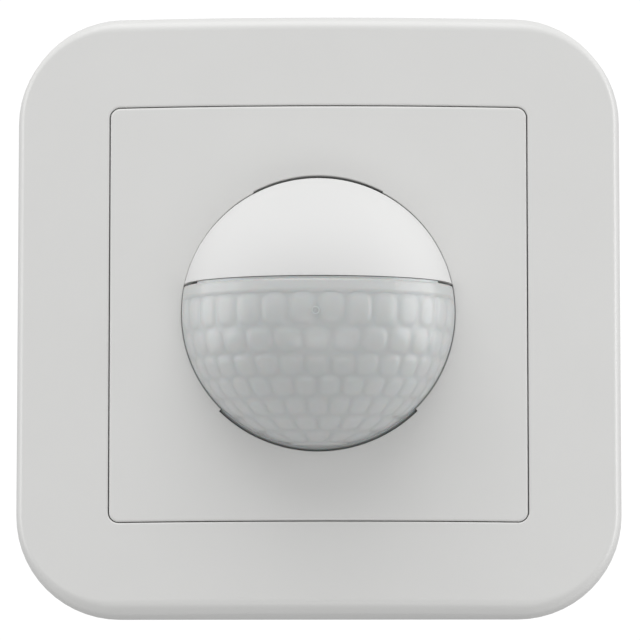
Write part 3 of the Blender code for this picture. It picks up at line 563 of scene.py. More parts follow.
class Growth(Graph):
    """A geometry tree with named inputs, which ends in plain mesh with one material."""

    def __init__(self, name: str, inputs: dict[str, str]) -> None:
        """Make the tree.

        Args:
            name: the tree's name.
            inputs: each input's name and its socket type.
        """
        super().__init__(bpy.data.node_groups.new(name, "GeometryNodeTree"))
        face = self.tree.interface
        face.new_socket("Geometry", in_out="OUTPUT", socket_type="NodeSocketGeometry")
        self.ids = {}
        for label, kind in inputs.items():
            made = face.new_socket(label, in_out="INPUT", socket_type=kind)
            self.ids[label] = made.identifier
        self.entry = self.tree.nodes.new("NodeGroupInput")

    def value(self, name: str) -> Wire:
        """A named input of the tree."""
        return Wire(self, self.entry.outputs[name])

    def close(self, result: Wire) -> None:
        """End the tree in real faces that wear the material input."""
        real = self.node("GeometryNodeRealizeInstances", None, {0: result})
        worn = self.node("GeometryNodeSetMaterial", None, {0: real, "Material": self.value("Material")})
        ending = self.tree.nodes.new("NodeGroupOutput")
        self.feed(ending.inputs[0], worn)

    def grow(self, name: str, **values: object) -> bpy.types.Object:
        """Evaluate the tree once and keep its mesh.

        Args:
            name: the piece's name.
            values: the tree's inputs; an underscore in a name stands for a space.

        Returns:
            A plain mesh object.
        """
        host = bpy.data.objects.new(name, bpy.data.meshes.new(name))
        bpy.context.scene.collection.objects.link(host)
        step = host.modifiers.new("growth", "NODES")
        step.node_group = self.tree
        for label, value in values.items():
            step[self.ids[label.replace("_", " ")]] = value
        baked(host)
        host.data.shade_smooth()
        host.data.set_sharp_from_angle(angle=math.radians(CREASE))
        return host


FLOAT, COUNT, VECTOR = "NodeSocketFloat", "NodeSocketInt", "NodeSocketVector"
MATERIAL = "NodeSocketMaterial"


def thread_tree() -> Growth:
    """A screw thread: a small rhomb that winds round a shank along +Y."""
    tree = Growth("screw_thread", {
        "Radius": FLOAT, "Turns": FLOAT, "Length": FLOAT, "Ridge": FLOAT, "Place": VECTOR,
        "Material": MATERIAL,
    })
    radius = tree.value("Radius")
    coil = tree.node("GeometryNodeCurveSpiral", None, {
        "Resolution": 20, "Rotations": tree.value("Turns"), "Start Radius": radius,
        "End Radius": radius, "Height": tree.value("Length"),
    })
    ridge = tree.node("GeometryNodeCurvePrimitiveCircle", None, {
        "Resolution": 4, "Radius": tree.value("Ridge"),
    })
    wound = tree.node("GeometryNodeCurveToMesh", None, {0: coil, 1: ridge, "Fill Caps": True})
    tree.close(tree.node("GeometryNodeTransform", None, {
        "Geometry": wound, "Translation": tree.value("Place"), "Rotation": (-math.pi / 2, 0.0, 0.0),
    }))
    return tree


def row_tree() -> Growth:
    """Equal blocks in a row, for the housing's ribs and the strip gauge."""
    tree = Growth("row_of_blocks", {
        "Count": COUNT, "Start": VECTOR, "Step": VECTOR, "Size": VECTOR, "Material": MATERIAL,
    })
    line = tree.node("GeometryNodeMeshLine", None, {
        "Count": tree.value("Count"), "Start Location": tree.value("Start"), "Offset": tree.value("Step"),
    })
    block = tree.node("GeometryNodeMeshCube", None, {"Size": tree.value("Size")})
    tree.close(tree.node("GeometryNodeInstanceOnPoints", None, {"Points": line, "Instance": block}))
    return tree


def fan_tree() -> Growth:
    """Marks on an arc round a forward axis, each pointing at the axis."""
    tree = Growth("fan_of_marks", {
        "Count": COUNT, "Radius": FLOAT, "Start": FLOAT, "Sweep": FLOAT, "Size": VECTOR,
        "Place": VECTOR, "Material": MATERIAL,
    })
    ring = tree.node("GeometryNodeCurveArc", {"mode": "RADIUS"}, {
        "Resolution": 96, "Radius": tree.value("Radius"), "Start Angle": tree.value("Start"),
        "Sweep Angle": tree.value("Sweep"),
    })
    spots = tree.node("GeometryNodeCurveToPoints", {"mode": "COUNT"}, {0: ring, "Count": tree.value("Count")})
    mark = tree.node("GeometryNodeMeshCube", None, {"Size": tree.value("Size")})
    place = tree.node("GeometryNodeInputPosition")
    parts = tree.node("ShaderNodeSeparateXYZ", None, {0: place})
    turn = tree.node("ShaderNodeMath", {"operation": "ARCTAN2"}, {0: parts.output("Y"), 1: parts.output("X")})
    facing = tree.node("ShaderNodeCombineXYZ", None, {"Z": turn})
    marks = tree.node("GeometryNodeInstanceOnPoints", None, {
        "Points": spots, "Instance": mark, "Rotation": facing,
    })
    tree.close(tree.node("GeometryNodeTransform", None, {
        "Geometry": marks, "Translation": tree.value("Place"), "Rotation": (math.pi / 2, 0.0, 0.0),
    }))
    return tree


def scatter_tree() -> Growth:
    """Small parts on a grid, some left out at random, with sizes that vary a little."""
    tree = Growth("scattered_parts", {
        "Width": FLOAT, "Height": FLOAT, "Columns": COUNT, "Rows": COUNT, "Share": FLOAT,
        "Size": VECTOR, "Seed": COUNT, "Place": VECTOR, "Material": MATERIAL,
    })
    grid = tree.node("GeometryNodeMeshGrid", None, {
        "Size X": tree.value("Width"), "Size Y": tree.value("Height"),
        "Vertices X": tree.value("Columns"), "Vertices Y": tree.value("Rows"),
    })
    chosen = tree.node("FunctionNodeRandomValue", {"data_type": "FLOAT"}, {"Seed": tree.value("Seed")})
    kept = tree.node("FunctionNodeCompare", {"data_type": "FLOAT", "operation": "LESS_THAN"}, {
        "A": chosen.output("Value"), "B": tree.value("Share"),
    })
    block = tree.node("GeometryNodeMeshCube", None, {"Size": tree.value("Size")})
    parts = tree.node("GeometryNodeInstanceOnPoints", None, {
        "Points": grid, "Selection": kept, "Instance": block,
    })
    tree.close(tree.node("GeometryNodeTransform", None, {
        "Geometry": parts, "Translation": tree.value("Place"), "Rotation": (math.pi / 2, 0.0, 0.0),
    }))
    return tree


class Trees:
    """The geometry trees that several sub-assemblies share, each made once."""

    def __init__(self) -> None:
        """Build every tree."""
        self.thread = thread_tree()
        self.row = row_tree()
        self.fan = fan_tree()
        self.scatter = scatter_tree()


# ---------------------------------------------------------------- finished copies of frame nodes

@dataclass
class Finisher:
    """Makes a clean copy of a frame node with broken edges, for nodes whose shape stays."""

    weld: float = 0.002 * MM
    flat: float = 1.0
    corner: float = 40.0
    width: float = 0.12 * MM
    segments: int = 2

    def copy(self, node: str) -> bpy.types.Object:
        """Replace a node by a copy whose edges are rounded.

        Args:
            node: the frame node.

        Returns:
            The settled piece.
        """
        shape = bmesh.new()
        shape.from_mesh(frame["nodes"][node].data)
        bmesh.ops.remove_doubles(shape, verts=shape.verts, dist=self.weld)
        bmesh.ops.dissolve_limit(
            shape, angle_limit=math.radians(self.flat), verts=shape.verts, edges=shape.edges
        )
        made = as_object(f"{node}_finished", shape, Surface.of(node), recalculate=False)
        step = made.modifiers.new("edges", "BEVEL")
        step.width = self.width
        step.segments = self.segments
        step.limit_method = "ANGLE"
        step.angle_limit = math.radians(self.corner)
        step.use_clamp_overlap = True
        step.harden_normals = False
        baked(made)
        made.data.set_sharp_from_angle(angle=math.radians(CREASE))
        return settle(made, node, node)


# ---------------------------------------------------------------- fascia

@dataclass
class Crown:
    """The fascia's front, bent about an upright axis."""

    radius: float = 226.0 * MM
    height: float = -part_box("cover_frame")[0].y

    def at(self, x: float) -> float:
        """Distance forward of the wall at x."""
        return self.height - self.radius + math.sqrt(self.radius ** 2 - x ** 2)

    def loop(self, points: Iterable[Point2], below: float = 0.0, level: float | None = None) -> Loop:
        """A loop on the crown, or `below` it, or at one level."""
        return [Vector((x, -(self.at(x) - below if level is None else level), z)) for x, z in points]


@dataclass
class CoverFrame:
    """The outer frame: crowned face, rounded outer edge, and a skirt round its opening."""

    crown: Crown
    half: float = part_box("cover_frame")[1].x
    corner: float = 15.0 * MM
    wall: float = 2.2 * MM
    edge: float = 2.0 * MM
    side_share: float = 0.38
    draft: float = 0.3 * MM
    foot: tuple[float, float] = (0.4 * MM, 2.6 * MM)
    opening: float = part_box("centre_plate")[1].x + 0.14 * MM
    opening_corner: float = 1.58 * MM
    opening_edge: float = 0.25 * MM
    skirt_wall: float = 1.4 * MM
    skirt_rear: float = 3.4 * MM
    face_bands: int = 7

    def rounded(self, half: float, corner: float, edge: float, steps: int, share: float) -> list[Loop]:
        """Loops that round an edge over.

        Args:
            half: half the side before the rounding.
            corner: the corner's radius before the rounding.
            edge: the rounding, negative for an opening.
            steps: of the rounding.
            share: how much of the rounding the left and right sides have.

        Returns:
            The loops, from the wall side to the face.
        """
        loops = []
        for step in range(steps + 1):
            angle = math.radians(90.0 * step / steps)
            inset = edge * (1 - math.cos(angle))
            points = outline(half - inset * share, half - inset, corner - inset)
            loops.append(self.crown.loop(points, below=abs(edge) * (1 - math.sin(angle))))
        return loops

    def build(self) -> list[bpy.types.Object]:
        """Skin the frame from its loops."""
        outside = outline(self.half, self.half, self.corner)
        drawn_in, foot_height = self.foot
        foot = outline(self.half - drawn_in, self.half - drawn_in, self.corner - drawn_in)
        front, front_corner = self.half - self.draft, self.corner - self.draft
        side = front - self.edge * self.side_share
        top = outline(side, front - self.edge, front_corner - self.edge)
        lip = self.opening + self.opening_edge
        bottom = outline(lip, lip, self.opening_corner + self.opening_edge)
        loops = [self.crown.loop(foot, level=0.0), self.crown.loop(outside, level=foot_height)]
        loops += self.rounded(front, front_corner, self.edge, 10, self.side_share)
        for band in range(self.face_bands):
            share = (band + 0.06) / (self.face_bands - 0.88)
            points = [(a + (c - a) * share, b + (d - b) * share) for (a, b), (c, d) in zip(top, bottom)]
            loops.append(self.crown.loop(points))
        loops += reversed(self.rounded(self.opening, self.opening_corner, -self.opening_edge, 5, 1.0))
        inner = outline(self.opening, self.opening, self.opening_corner)
        skirt_half = self.opening + self.skirt_wall
        skirt = outline(skirt_half, skirt_half, self.opening_corner + self.skirt_wall)
        hollow = self.half - self.wall
        hollow_corner = self.corner - self.wall
        loops.append(self.crown.loop(inner, level=self.skirt_rear))
        loops.append(self.crown.loop(skirt, level=self.skirt_rear))
        loops.append(self.crown.loop(skirt, below=self.wall))
        for inset, below in ((self.edge / 2, 0.0), (self.edge / 7, self.edge / 7), (0.0, self.edge / 2)):
            points = outline(hollow - inset, hollow - inset, hollow_corner - inset)
            loops.append(self.crown.loop(points, below=self.wall + below))
        rim = outline(hollow, hollow, hollow_corner)
        loops.append(self.crown.loop(rim, level=0.0))
        shape = loft(loops, closed=True)
        made = as_object("cover_frame_shell", shape, Surface.of("cover_frame"), 40.0)
        return [settle(made, "cover_frame", "cover_frame")]


@dataclass
class CentrePlate:
    """The square plate, with the dome's hole, a finger notch below and a pry relief above."""

    crown: Crown
    half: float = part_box("centre_plate")[1].x
    corner: float = 1.4 * MM
    edge: float = 0.3 * MM
    thickness: float = 2.0 * MM
    skirt_wall: float = 1.4 * MM
    skirt_rear: float = 3.4 * MM
    hole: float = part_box("upper_hood")[1].z
    hole_edge: float = 0.10 * MM
    notch: tuple[float, float] = (0.40 * MM, 45.0)
    relief: tuple[float, float] = (0.19 * MM, 28.0)
    bands: int = 8

    def angles(self) -> list[float]:
        """Directions of the plate's points, with a close pair at each end of a notch."""
        points = outline(self.half, self.half, self.corner)
        found = {math.degrees(math.atan2(z, x)) % 360.0 for x, z in points}
        found |= {step * 1.5 for step in range(240)}
        for middle, half_angle in ((270.0, self.notch[1]), (90.0, self.relief[1])):
            for end in (middle - half_angle, middle + half_angle):
                found -= {angle for angle in found if abs(angle - end) < 0.3}
                found |= {end - 0.04, end + 0.04}
        ordered = sorted(found)
        return [a for a, after in zip(ordered, ordered[1:] + [400.0]) if after - a > 0.05 or self.is_end(a)]

    def is_end(self, angle: float) -> bool:
        """Whether a direction is at an end of the notch or the relief."""
        ends = [270.0 - self.notch[1], 270.0 + self.notch[1], 90.0 - self.relief[1], 90.0 + self.relief[1]]
        return any(abs(angle - end) < 0.06 for end in ends)

    def rim(self, angle: float) -> float:
        """The hole's radius in a direction."""
        if abs(angle - 270.0) < self.notch[1]:
            return self.hole + self.notch[0]
        if abs(angle - 90.0) < self.relief[1]:
            return self.hole + self.relief[0]
        return self.hole

    @staticmethod
    def reach(angle: float, half: float, corner: float) -> float:
        """Distance from the centre to a rounded square's outline in a direction."""
        turn = math.radians(angle)
        across, up = abs(math.cos(turn)), abs(math.sin(turn))
        flat = half - corner
        if max(across, up) * flat >= min(across, up) * half:
            return half / max(across, up)
        total = flat * (across + up)
        return total + math.sqrt(total ** 2 - 2 * flat ** 2 + corner ** 2)

    def square(self, angles: Sequence[float], inset: float = 0.0) -> list[Point2]:
        """The plate's outline, or one inside it."""
        points = []
        for angle in angles:
            far = self.reach(angle, self.half - inset, max(self.corner - inset, 0.3 * MM))
            points.append((far * math.cos(math.radians(angle)), far * math.sin(math.radians(angle))))
        return points

    @staticmethod
    def circle(angles: Sequence[float], radii: Sequence[float]) -> list[Point2]:
        """Points at the given directions and distances from the centre."""
        turns = [math.radians(angle) for angle in angles]
        return [(r * math.cos(turn), r * math.sin(turn)) for turn, r in zip(turns, radii)]

    def round(self, angles: Sequence[float], wider: float = 0.0) -> list[Point2]:
        """The hole's outline with its notch and relief, or one outside it."""
        return self.circle(angles, [self.rim(angle) + wider for angle in angles])

    def build(self) -> list[bpy.types.Object]:
        """Skin the plate from its loops."""
        angles = self.angles()
        loops = [self.crown.loop(self.square(angles), level=self.skirt_rear)]
        for step in range(6):
            turn = math.radians(18.0 * step)
            inset, drop = self.edge * (1 - math.cos(turn)), self.edge * (1 - math.sin(turn))
            loops.append(self.crown.loop(self.square(angles, inset), below=drop))
        start, end = self.square(angles, self.edge), self.round(angles, self.hole_edge)
        for band in range(self.bands):
            share = (band + 0.05) / (self.bands - 0.9)
            points = [(a + (c - a) * share, b + (d - b) * share) for (a, b), (c, d) in zip(start, end)]
            loops.append(self.crown.loop(points))
        for step in range(4):
            turn = math.radians(30.0 * step)
            wider, drop = self.hole_edge * (1 - math.sin(turn)), self.hole_edge * (1 - math.cos(turn))
            loops.append(self.crown.loop(self.round(angles, wider), below=drop))
        loops.append(self.crown.loop(self.round(angles), below=self.thickness))
        inner = self.square(angles, self.skirt_wall)
        loops.append(self.crown.loop(inner, below=self.thickness))
        loops.append(self.crown.loop(inner, level=self.skirt_rear))
        shape = loft(loops, closed=True)
        made = as_object("centre_plate_face", shape, Surface.of("centre_plate"), 40.0)
        rim = as_object("plate_retaining_rim", self.retaining_rim(), Surface.of("centre_plate"))
        return [settle(made, "centre_plate", "centre_plate"), settle(rim, "centre_plate")]

    def retaining_rim(self) -> bmesh.types.BMesh:
        """The flat rim behind both skirts that holds the plate in the frame."""
        inner, outer = self.half - self.skirt_wall, self.half + self.skirt_wall
        rear, front = self.skirt_rear - 1.1 * MM, self.skirt_rear - 0.05 * MM
        sides = ((inner, rear), (outer, rear), (outer, front), (inner, front))
        loops = [
            self.crown.loop(outline(half, half, half - self.half + 2.4 * MM, 8, 2), level=level)
            for half, level in sides
        ]
        return loft(loops, closed=True)


# ---------------------------------------------------------------- dome

@dataclass
class Sphere:
    """The sphere that hood and lens share, and the sloping plane between them."""

    radius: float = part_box("upper_hood")[1].z - 0.07 * MM
    centre: float = 9.6 * MM
    rear: float = -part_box("lens_dome")[1].y
    slope: float = 4.07
    split: float = 3.58 * MM
    gap: float = 0.43 * MM

    def up(self) -> Vector:
        """The split plane's normal."""
        turn = math.radians(self.slope)
        return Vector((0.0, -math.sin(turn), math.cos(turn)))

    def middle(self) -> Vector:
        """The sphere's centre."""
        return Vector((0.0, -self.centre, 0.0))

    def top_latitude(self) -> float:
        """The lens's upper edge above its equator, in degrees."""
        return math.degrees(math.asin(self.split * math.cos(math.radians(self.slope)) / self.radius))

    def point(self, latitude: float, longitude: float, radius: float) -> Vector:
        """A point in the lens's own frame, which leans with the split plane; degrees."""
        high, side = math.radians(latitude), math.radians(longitude)
        ahead = Vector((0.0, -math.cos(math.radians(self.slope)), -math.sin(math.radians(self.slope))))
        level = Vector((math.sin(side), 0.0, 0.0)) + ahead * math.cos(side)
        return self.middle() + radius * (level * math.cos(high) + self.up() * math.sin(high))


@dataclass
class Hood:
    """The white shade over the dome's upper part, which pulls off."""

    sphere: Sphere
    wall: float = 1.5 * MM
    lip: float = 0.10 * MM
    sag: float = 0.34 * MM
    rings: int = 30
    steps: int = 144

    def build(self) -> list[bpy.types.Object]:
        """Turn a whole shell, then cut it along the sloping plane."""
        ball = self.sphere
        inside = ball.radius - self.wall
        centre = (0.0, ball.centre)
        pole = 0.6
        outer = arc(centre, ball.radius, 90.0 - pole, 0.0, self.rings)
        inner = arc(centre, inside, 0.0, 90.0 - pole, self.rings)
        profile = outer + [(ball.radius, ball.rear), (inside, ball.rear)] + inner
        shape = lathe(profile, steps=self.steps)
        for vertex in shape.verts:
            vertex.co.z -= self.sag * max(vertex.co.z, 0.0) / ball.radius
        plane = ball.middle() + Vector((0.0, 0.0, ball.split + ball.gap))
        everything = shape.verts[:] + shape.edges[:] + shape.faces[:]
        cut = bmesh.ops.bisect_plane(
            shape, geom=everything, plane_co=plane, plane_no=ball.up(), clear_inner=True
        )
        rim = [part for part in cut["geom_cut"] if isinstance(part, bmesh.types.BMEdge)]
        bmesh.ops.edgenet_fill(shape, edges=rim)
        made = as_object("upper_hood_shell", shape, Surface.of("upper_hood"), 40.0)
        step = made.modifiers.new("lip", "BEVEL")
        step.width, step.segments = self.lip, 3
        step.limit_method, step.angle_limit = "ANGLE", math.radians(50.0)
        baked(made)
        made.data.set_sharp_from_angle(angle=math.radians(40.0))
        return [settle(made, "upper_hood", "upper_hood")]


@dataclass(frozen=True)
class LensRow:
    """One row of lens cells, in degrees."""

    top: float
    bottom: float
    width: float
    centred: bool


@dataclass
class Lens:
    """The milky lens: a core with crowned cells below a thin, smooth outer skin."""

    sphere: Sphere
    crown: Crown
    wall: float = 0.5 * MM
    skin: float = 0.03 * MM
    inset: float = 0.05 * MM
    relief: float = 0.12 * MM
    crowning: float = 0.22 * MM
    roundness: float = 2.8
    step: float = 0.8
    skin_step: float = 1.5
    band_end: float = 5.5
    border_start: float = 0.64
    fade: tuple[float, float] = (78.0, 88.0)
    # painted light: where the lighter sides start and are full, in degrees from the middle
    painted_side_light_from: tuple[float, float] = (18.0, 80.0)
    # painted light low down: where it starts and is full, in degrees below the equator, and its share
    painted_low_light_from: tuple[float, float] = (22.0, 62.0)
    painted_low_light_share: float = 0.9
    rows: tuple[LensRow, ...] = (
        LensRow(5.5, -9.3, 12.0, False),
        LensRow(-9.3, -20.8, 12.9, True),
        LensRow(-20.8, -31.3, 12.0, True),
        LensRow(-31.3, -41.5, 12.3, False),
        LensRow(-41.5, -52.5, 13.3, True),
        LensRow(-52.5, -63.8, 18.0, False),
        LensRow(-63.8, -76.8, 29.0, True),
    )
    flange: float = 1.55 * MM
    flange_height: float = 1.0 * MM
    ledge_depth: float = 0.22 * MM
    ledge_end: float = 64.0
    bead: float = 0.025 * MM
    collar: float = 0.34 * MM
    collar_drop: tuple[float, float] = (0.3 * MM, 1.1 * MM)
    collar_half: float = 44.6
    gate_latitude: float = -2.8
    gate_radius: float = 0.5 * MM
    lip_inner: float = 2.15 * MM
    lip_rib: float = 1.62 * MM
    lip_heights: tuple[float, float, float] = (-1.2, 1.15, 2.3)
    lip_end: float = 89.0

    def border(self, latitude: float, longitude: float) -> float:
        """How near a direction is to its cell's border: 0 at the middle, 1 on the border."""
        for row in self.rows:
            if row.bottom <= latitude <= row.top:
                shift = 0.5 if row.centred else 0.0
                column = longitude / row.width + shift
                across = abs(2.0 * (column - math.floor(column)) - 1.0)
                up = abs(2.0 * (latitude - row.bottom) / (row.top - row.bottom) - 1.0)
                power = self.roundness
                return min(1.0, (across ** power + up ** power) ** (1.0 / power))
        return 0.0

    def sheet(self, radius: float, step: float, shaped: bool) -> tuple[bmesh.types.BMesh, list[dict]]:
        """An open sheet over the lens, with its straight skirt.

        Args:
            radius: of the sheet.
            step: its mesh, in degrees.
            shaped: whether it has cells.

        Returns:
            The faces, and each point's values for the finish: painted shade on the cell borders, painted
            light towards the sides and low down, and the band.
        """
        shape = bmesh.new()
        notes: list[dict] = []
        top = self.sphere.top_latitude()
        count = round((top + 90.0) / step)
        latitudes = [top - (top + 90.0) * index / count for index in range(count)]
        across = round(180.0 / step)
        longitudes = [-90.0 + 180.0 * index / across for index in range(across + 1)]

        def vertex(latitude: float, longitude: float) -> bmesh.types.BMVert:
            """Add one point of the dome."""
            near = self.border(latitude, longitude) if shaped else 0.0
            edge = smooth_step(near, self.border_start, 1.0)
            in_cells = latitude < self.band_end and shaped
            fade = 1.0 - smooth_step(abs(longitude), *self.fade)
            # painted light: lighter low down on the lens
            low = self.painted_low_light_share * smooth_step(-latitude, *self.painted_low_light_from)
            depth = (self.relief * edge + self.crowning * near ** 2) * fade if in_cells else 0.0
            notes.append({
                # painted shade along the cell borders, in the grooves
                "border": edge if in_cells else 0.0,
                # painted light: lighter towards the sides and low down
                "side": max(smooth_step(abs(longitude), *self.painted_side_light_from), low),
                "band": 0.0 if in_cells else 1.0,
            })
            return shape.verts.new(self.sphere.point(latitude, longitude, radius - depth))

        rows = [[vertex(lat, lon) for lon in longitudes] for lat in latitudes]
        pole = vertex(-90.0, 0.0)
        for first, second in zip(rows, rows[1:]):
            for index in range(across):
                shape.faces.new((first[index], second[index], second[index + 1], first[index + 1]))
        last = rows[-1]
        for index in range(across):
            shape.faces.new((last[index], pole, last[index + 1]))
        edge = [row[0] for row in rows] + [pole] + [row[-1] for row in reversed(rows)]
        for forward in (self.sphere.centre * 0.75, self.sphere.rear):
            back = []
            for corner in edge:
                place = corner.co.copy()
                place.y = max(place.y, -forward)
                back.append(shape.verts.new(place))
                # the skirt takes the full painted side light
                notes.append({"border": 0.0, "side": 1.0, "band": 0.5})
            for (a, b), (c, d) in zip(zip(edge, edge[1:]), zip(back, back[1:])):
                shape.faces.new((a, c, d, b))
            edge = back
        return shape, notes

    def shell(self, name: str, finish: Finish, radius: float, wall: float, step: float,
              shaped: bool) -> bpy.types.Object:
        """A sheet with a wall grown inwards."""
        shape, notes = self.sheet(radius, step, shaped)
        shape.verts.ensure_lookup_table()
        made = as_object(name, shape, finish.material(), 60.0, recalculate=False)
        for key in notes[0]:
            values = made.data.attributes.new(key, "FLOAT", "POINT")
            values.data.foreach_set("value", [note[key] for note in notes])
        outward = made.data.polygons[len(made.data.polygons) // 3]
        if outward.normal.dot(outward.center - self.sphere.middle()) < 0:
            made.data.flip_normals()
        step_wall = made.modifiers.new("wall", "SOLIDIFY")
        step_wall.thickness = wall
        step_wall.offset = -1.0
        return baked(made)

    def lip(self) -> bmesh.types.BMesh:
        """A stepped rim: a rib inside the hood, and a ledge in the gap between hood and lens."""
        ball = self.sphere
        top = ball.top_latitude()
        inner, rib = ball.radius - self.lip_inner, ball.radius - self.lip_rib
        low, step, high = (top + height for height in self.lip_heights)
        loops = []
        for index in range(161):
            longitude = -self.lip_end + 2 * self.lip_end * index / 160
            drop = smooth_step(abs(longitude), self.ledge_end, self.ledge_end + 3.0)
            ledge = ball.radius - self.ledge_depth - 0.6 * MM * drop
            profile = ((low, inner), (high, inner), (high, rib), (step, rib), (step, ledge), (low, ledge))
            loops.append([ball.point(latitude, longitude, radius) for latitude, radius in profile])
        return loft(loops)

    def collar_ring(self) -> bmesh.types.BMesh:
        """A bead on the lens's skirt just below the plate's face, wider behind the finger notch."""
        inner, near = self.sphere.radius - 0.3 * MM, self.sphere.radius + self.bead
        limit = 90.0 + math.degrees(math.asin(self.sphere.split / self.sphere.radius))
        turns = {limit * step / 60 for step in range(-60, 61)}
        turns |= {side * (self.collar_half + step) for side in (-1, 1) for step in (0.0, 0.15)}
        loops = []
        for turn in sorted(turns):
            angle = math.radians(turn - 90.0)
            spoke = Vector((math.cos(angle), 0.0, math.sin(angle)))
            face = self.crown.at(near * spoke.x)
            front, rear = face - self.collar_drop[0], face - self.collar_drop[1]
            far = near + (self.collar if abs(turn) <= self.collar_half else 0.01 * MM)
            profile = ((inner, rear), (inner, front), (near, front), (far, rear + 0.1 * MM), (far, rear))
            loops.append([spoke * radius + Vector((0.0, -forward, 0.0)) for radius, forward in profile])
        return loft(loops)

    def flange_ring(self) -> bmesh.types.BMesh:
        """The flat rim that the clamp ring holds."""
        ball = self.sphere
        inner, outer = ball.radius - self.wall - self.inset, ball.radius + self.flange
        front = ball.rear + self.flange_height
        limit = math.degrees(math.asin((ball.split + 0.25 * MM) / outer))
        profile = ((inner, ball.rear), (outer, ball.rear), (outer, front), (inner, front))
        loops = []
        for index in range(121):
            angle = math.radians(limit - (180.0 + 2 * limit) * index / 120)
            spot = Vector((math.cos(angle), 0.0, math.sin(angle)))
            loops.append([spot * radius + Vector((0.0, -forward, 0.0)) for radius, forward in profile])
        return loft(loops)

    def gate(self) -> bmesh.types.BMesh:
        """The small ring left where the plastic entered the mould."""
        ball = self.sphere
        axis = (ball.point(self.gate_latitude, -0.5, 1.0) - ball.middle()).normalized()
        side = axis.orthogonal().normalized()
        other = axis.cross(side)
        rows = []
        for turn in range(32):
            angle = math.tau * turn / 32
            spoke = side * math.cos(angle) + other * math.sin(angle)
            row = []
            for step in range(8):
                around = math.tau * step / 8
                radius = self.gate_radius + 0.09 * MM * math.cos(around)
                high = ball.radius - 0.05 * MM + 0.045 * MM * math.sin(around)
                row.append(ball.middle() + spoke * radius + axis * high)
            rows.append(row)
        return loft(rows, closed=True)

    def build(self) -> list[bpy.types.Object]:
        """Core, skin, lip, flange and gate mark."""
        ball = self.sphere
        milky, clear = Surface.lens_milky.value, Surface.lens_skin.value
        core = self.shell("lens_core", milky, ball.radius - self.inset, self.wall, self.step, True)
        skin = self.shell("lens_skin", clear, ball.radius, self.skin, self.skin_step, False)
        lip = as_object("lens_lip", self.lip(), milky.material())
        flange = as_object("lens_flange", self.flange_ring(), milky.material())
        collar = as_object("lens_collar", self.collar_ring(), milky.material())
        gate = as_object("lens_gate_mark", self.gate(), milky.material())
        pieces = [settle(core, "lens_dome", "lens_dome"), settle(skin, "lens_dome", "lens_dome")]
        return pieces + [settle(piece, "lens_dome", "lens_dome") for piece in (lip, flange, collar, gate)]


# ---------------------------------------------------------------- fasteners

@dataclass
class Screw:
    """A pan-head screw with a cross recess and a thread."""

    node: str
    shank: float
    head_height: float
    trees: Trees
    pitch: float = 0.6 * MM

    def build(self) -> list[bpy.types.Object]:
        """Turn the screw, cut its recess, and wind its thread."""
        low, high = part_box(self.node)
        x, z = (low.x + high.x) / 2, (low.z + high.z) / 2
        head, top, tip = (high.x - low.x) / 2, -low.y, -high.y
        under = top - self.head_height
        core = self.shank - 0.18 * MM
        profile = [(0.25 * MM, tip), (core - 0.35 * MM, tip), (core, tip + 0.5 * MM), (core, under)]
        profile += [(head - 0.15 * MM, under), (head, under + 0.15 * MM)]
        rise = self.head_height - 0.15 * MM
        for step in range(1, 9):
            turn = math.radians(90.0 * step / 8.5)
            profile.append((head * math.cos(turn) ** 0.45, under + 0.15 * MM + rise * math.sin(turn)))
        made = as_object(f"{self.node}_turned", lathe(profile, (x, z), 48), Surface.of(self.node))
        cutters = []
        for width, height in ((head * 1.25, head * 0.24), (head * 0.24, head * 1.25)):
            points = outline(width / 2, height / 2, head * 0.08, 3, 1)
            loops = [
                [Vector((x + a * share, -forward, z + b * share)) for a, b in points]
                for forward, share in ((top - self.head_height * 0.6, 0.7), (top + 0.3 * MM, 1.05))
            ]
            cutters.append(as_object("recess_cutter", loft(loops), Surface.of(self.node)))
        carved(made, cutters)
        length = under - tip - 1.0 * MM
        thread = self.trees.thread.grow(
            f"{self.node}_thread", Radius=core - 0.04 * MM, Turns=length / self.pitch, Length=length,
            Ridge=0.2 * MM, Place=(x, -(under - 0.3 * MM), z), Material=Surface.of(self.node),
        )
        return [settle(made, self.node, self.node), settle(thread, self.node)]


# ---------------------------------------------------------------- sensor head and adjusters

@dataclass
class ClampRing:
    """The ring that presses the lens's flange down."""

    hole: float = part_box("upper_hood")[1].z + 0.3 * MM
    edge: float = 0.2 * MM

    def build(self) -> list[bpy.types.Object]:
        """Turn the ring from a closed profile."""
        low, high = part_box("lens_clamp_ring")
        outer, front, rear, bead = high.x, -low.y, -high.y, self.edge
        profile = [(self.hole, rear + bead), (self.hole, front - bead), (self.hole + bead, front)]
        profile += [(outer - bead, front), (outer, front - bead), (outer, rear + bead)]
        profile += [(outer - bead, rear), (self.hole + bead, rear)]
        shape = lathe(profile, steps=120, closed=True)
        made = as_object("lens_clamp_ring_turned", shape, Surface.of("lens_clamp_ring"))
        return [settle(made, "lens_clamp_ring", "lens_clamp_ring")]


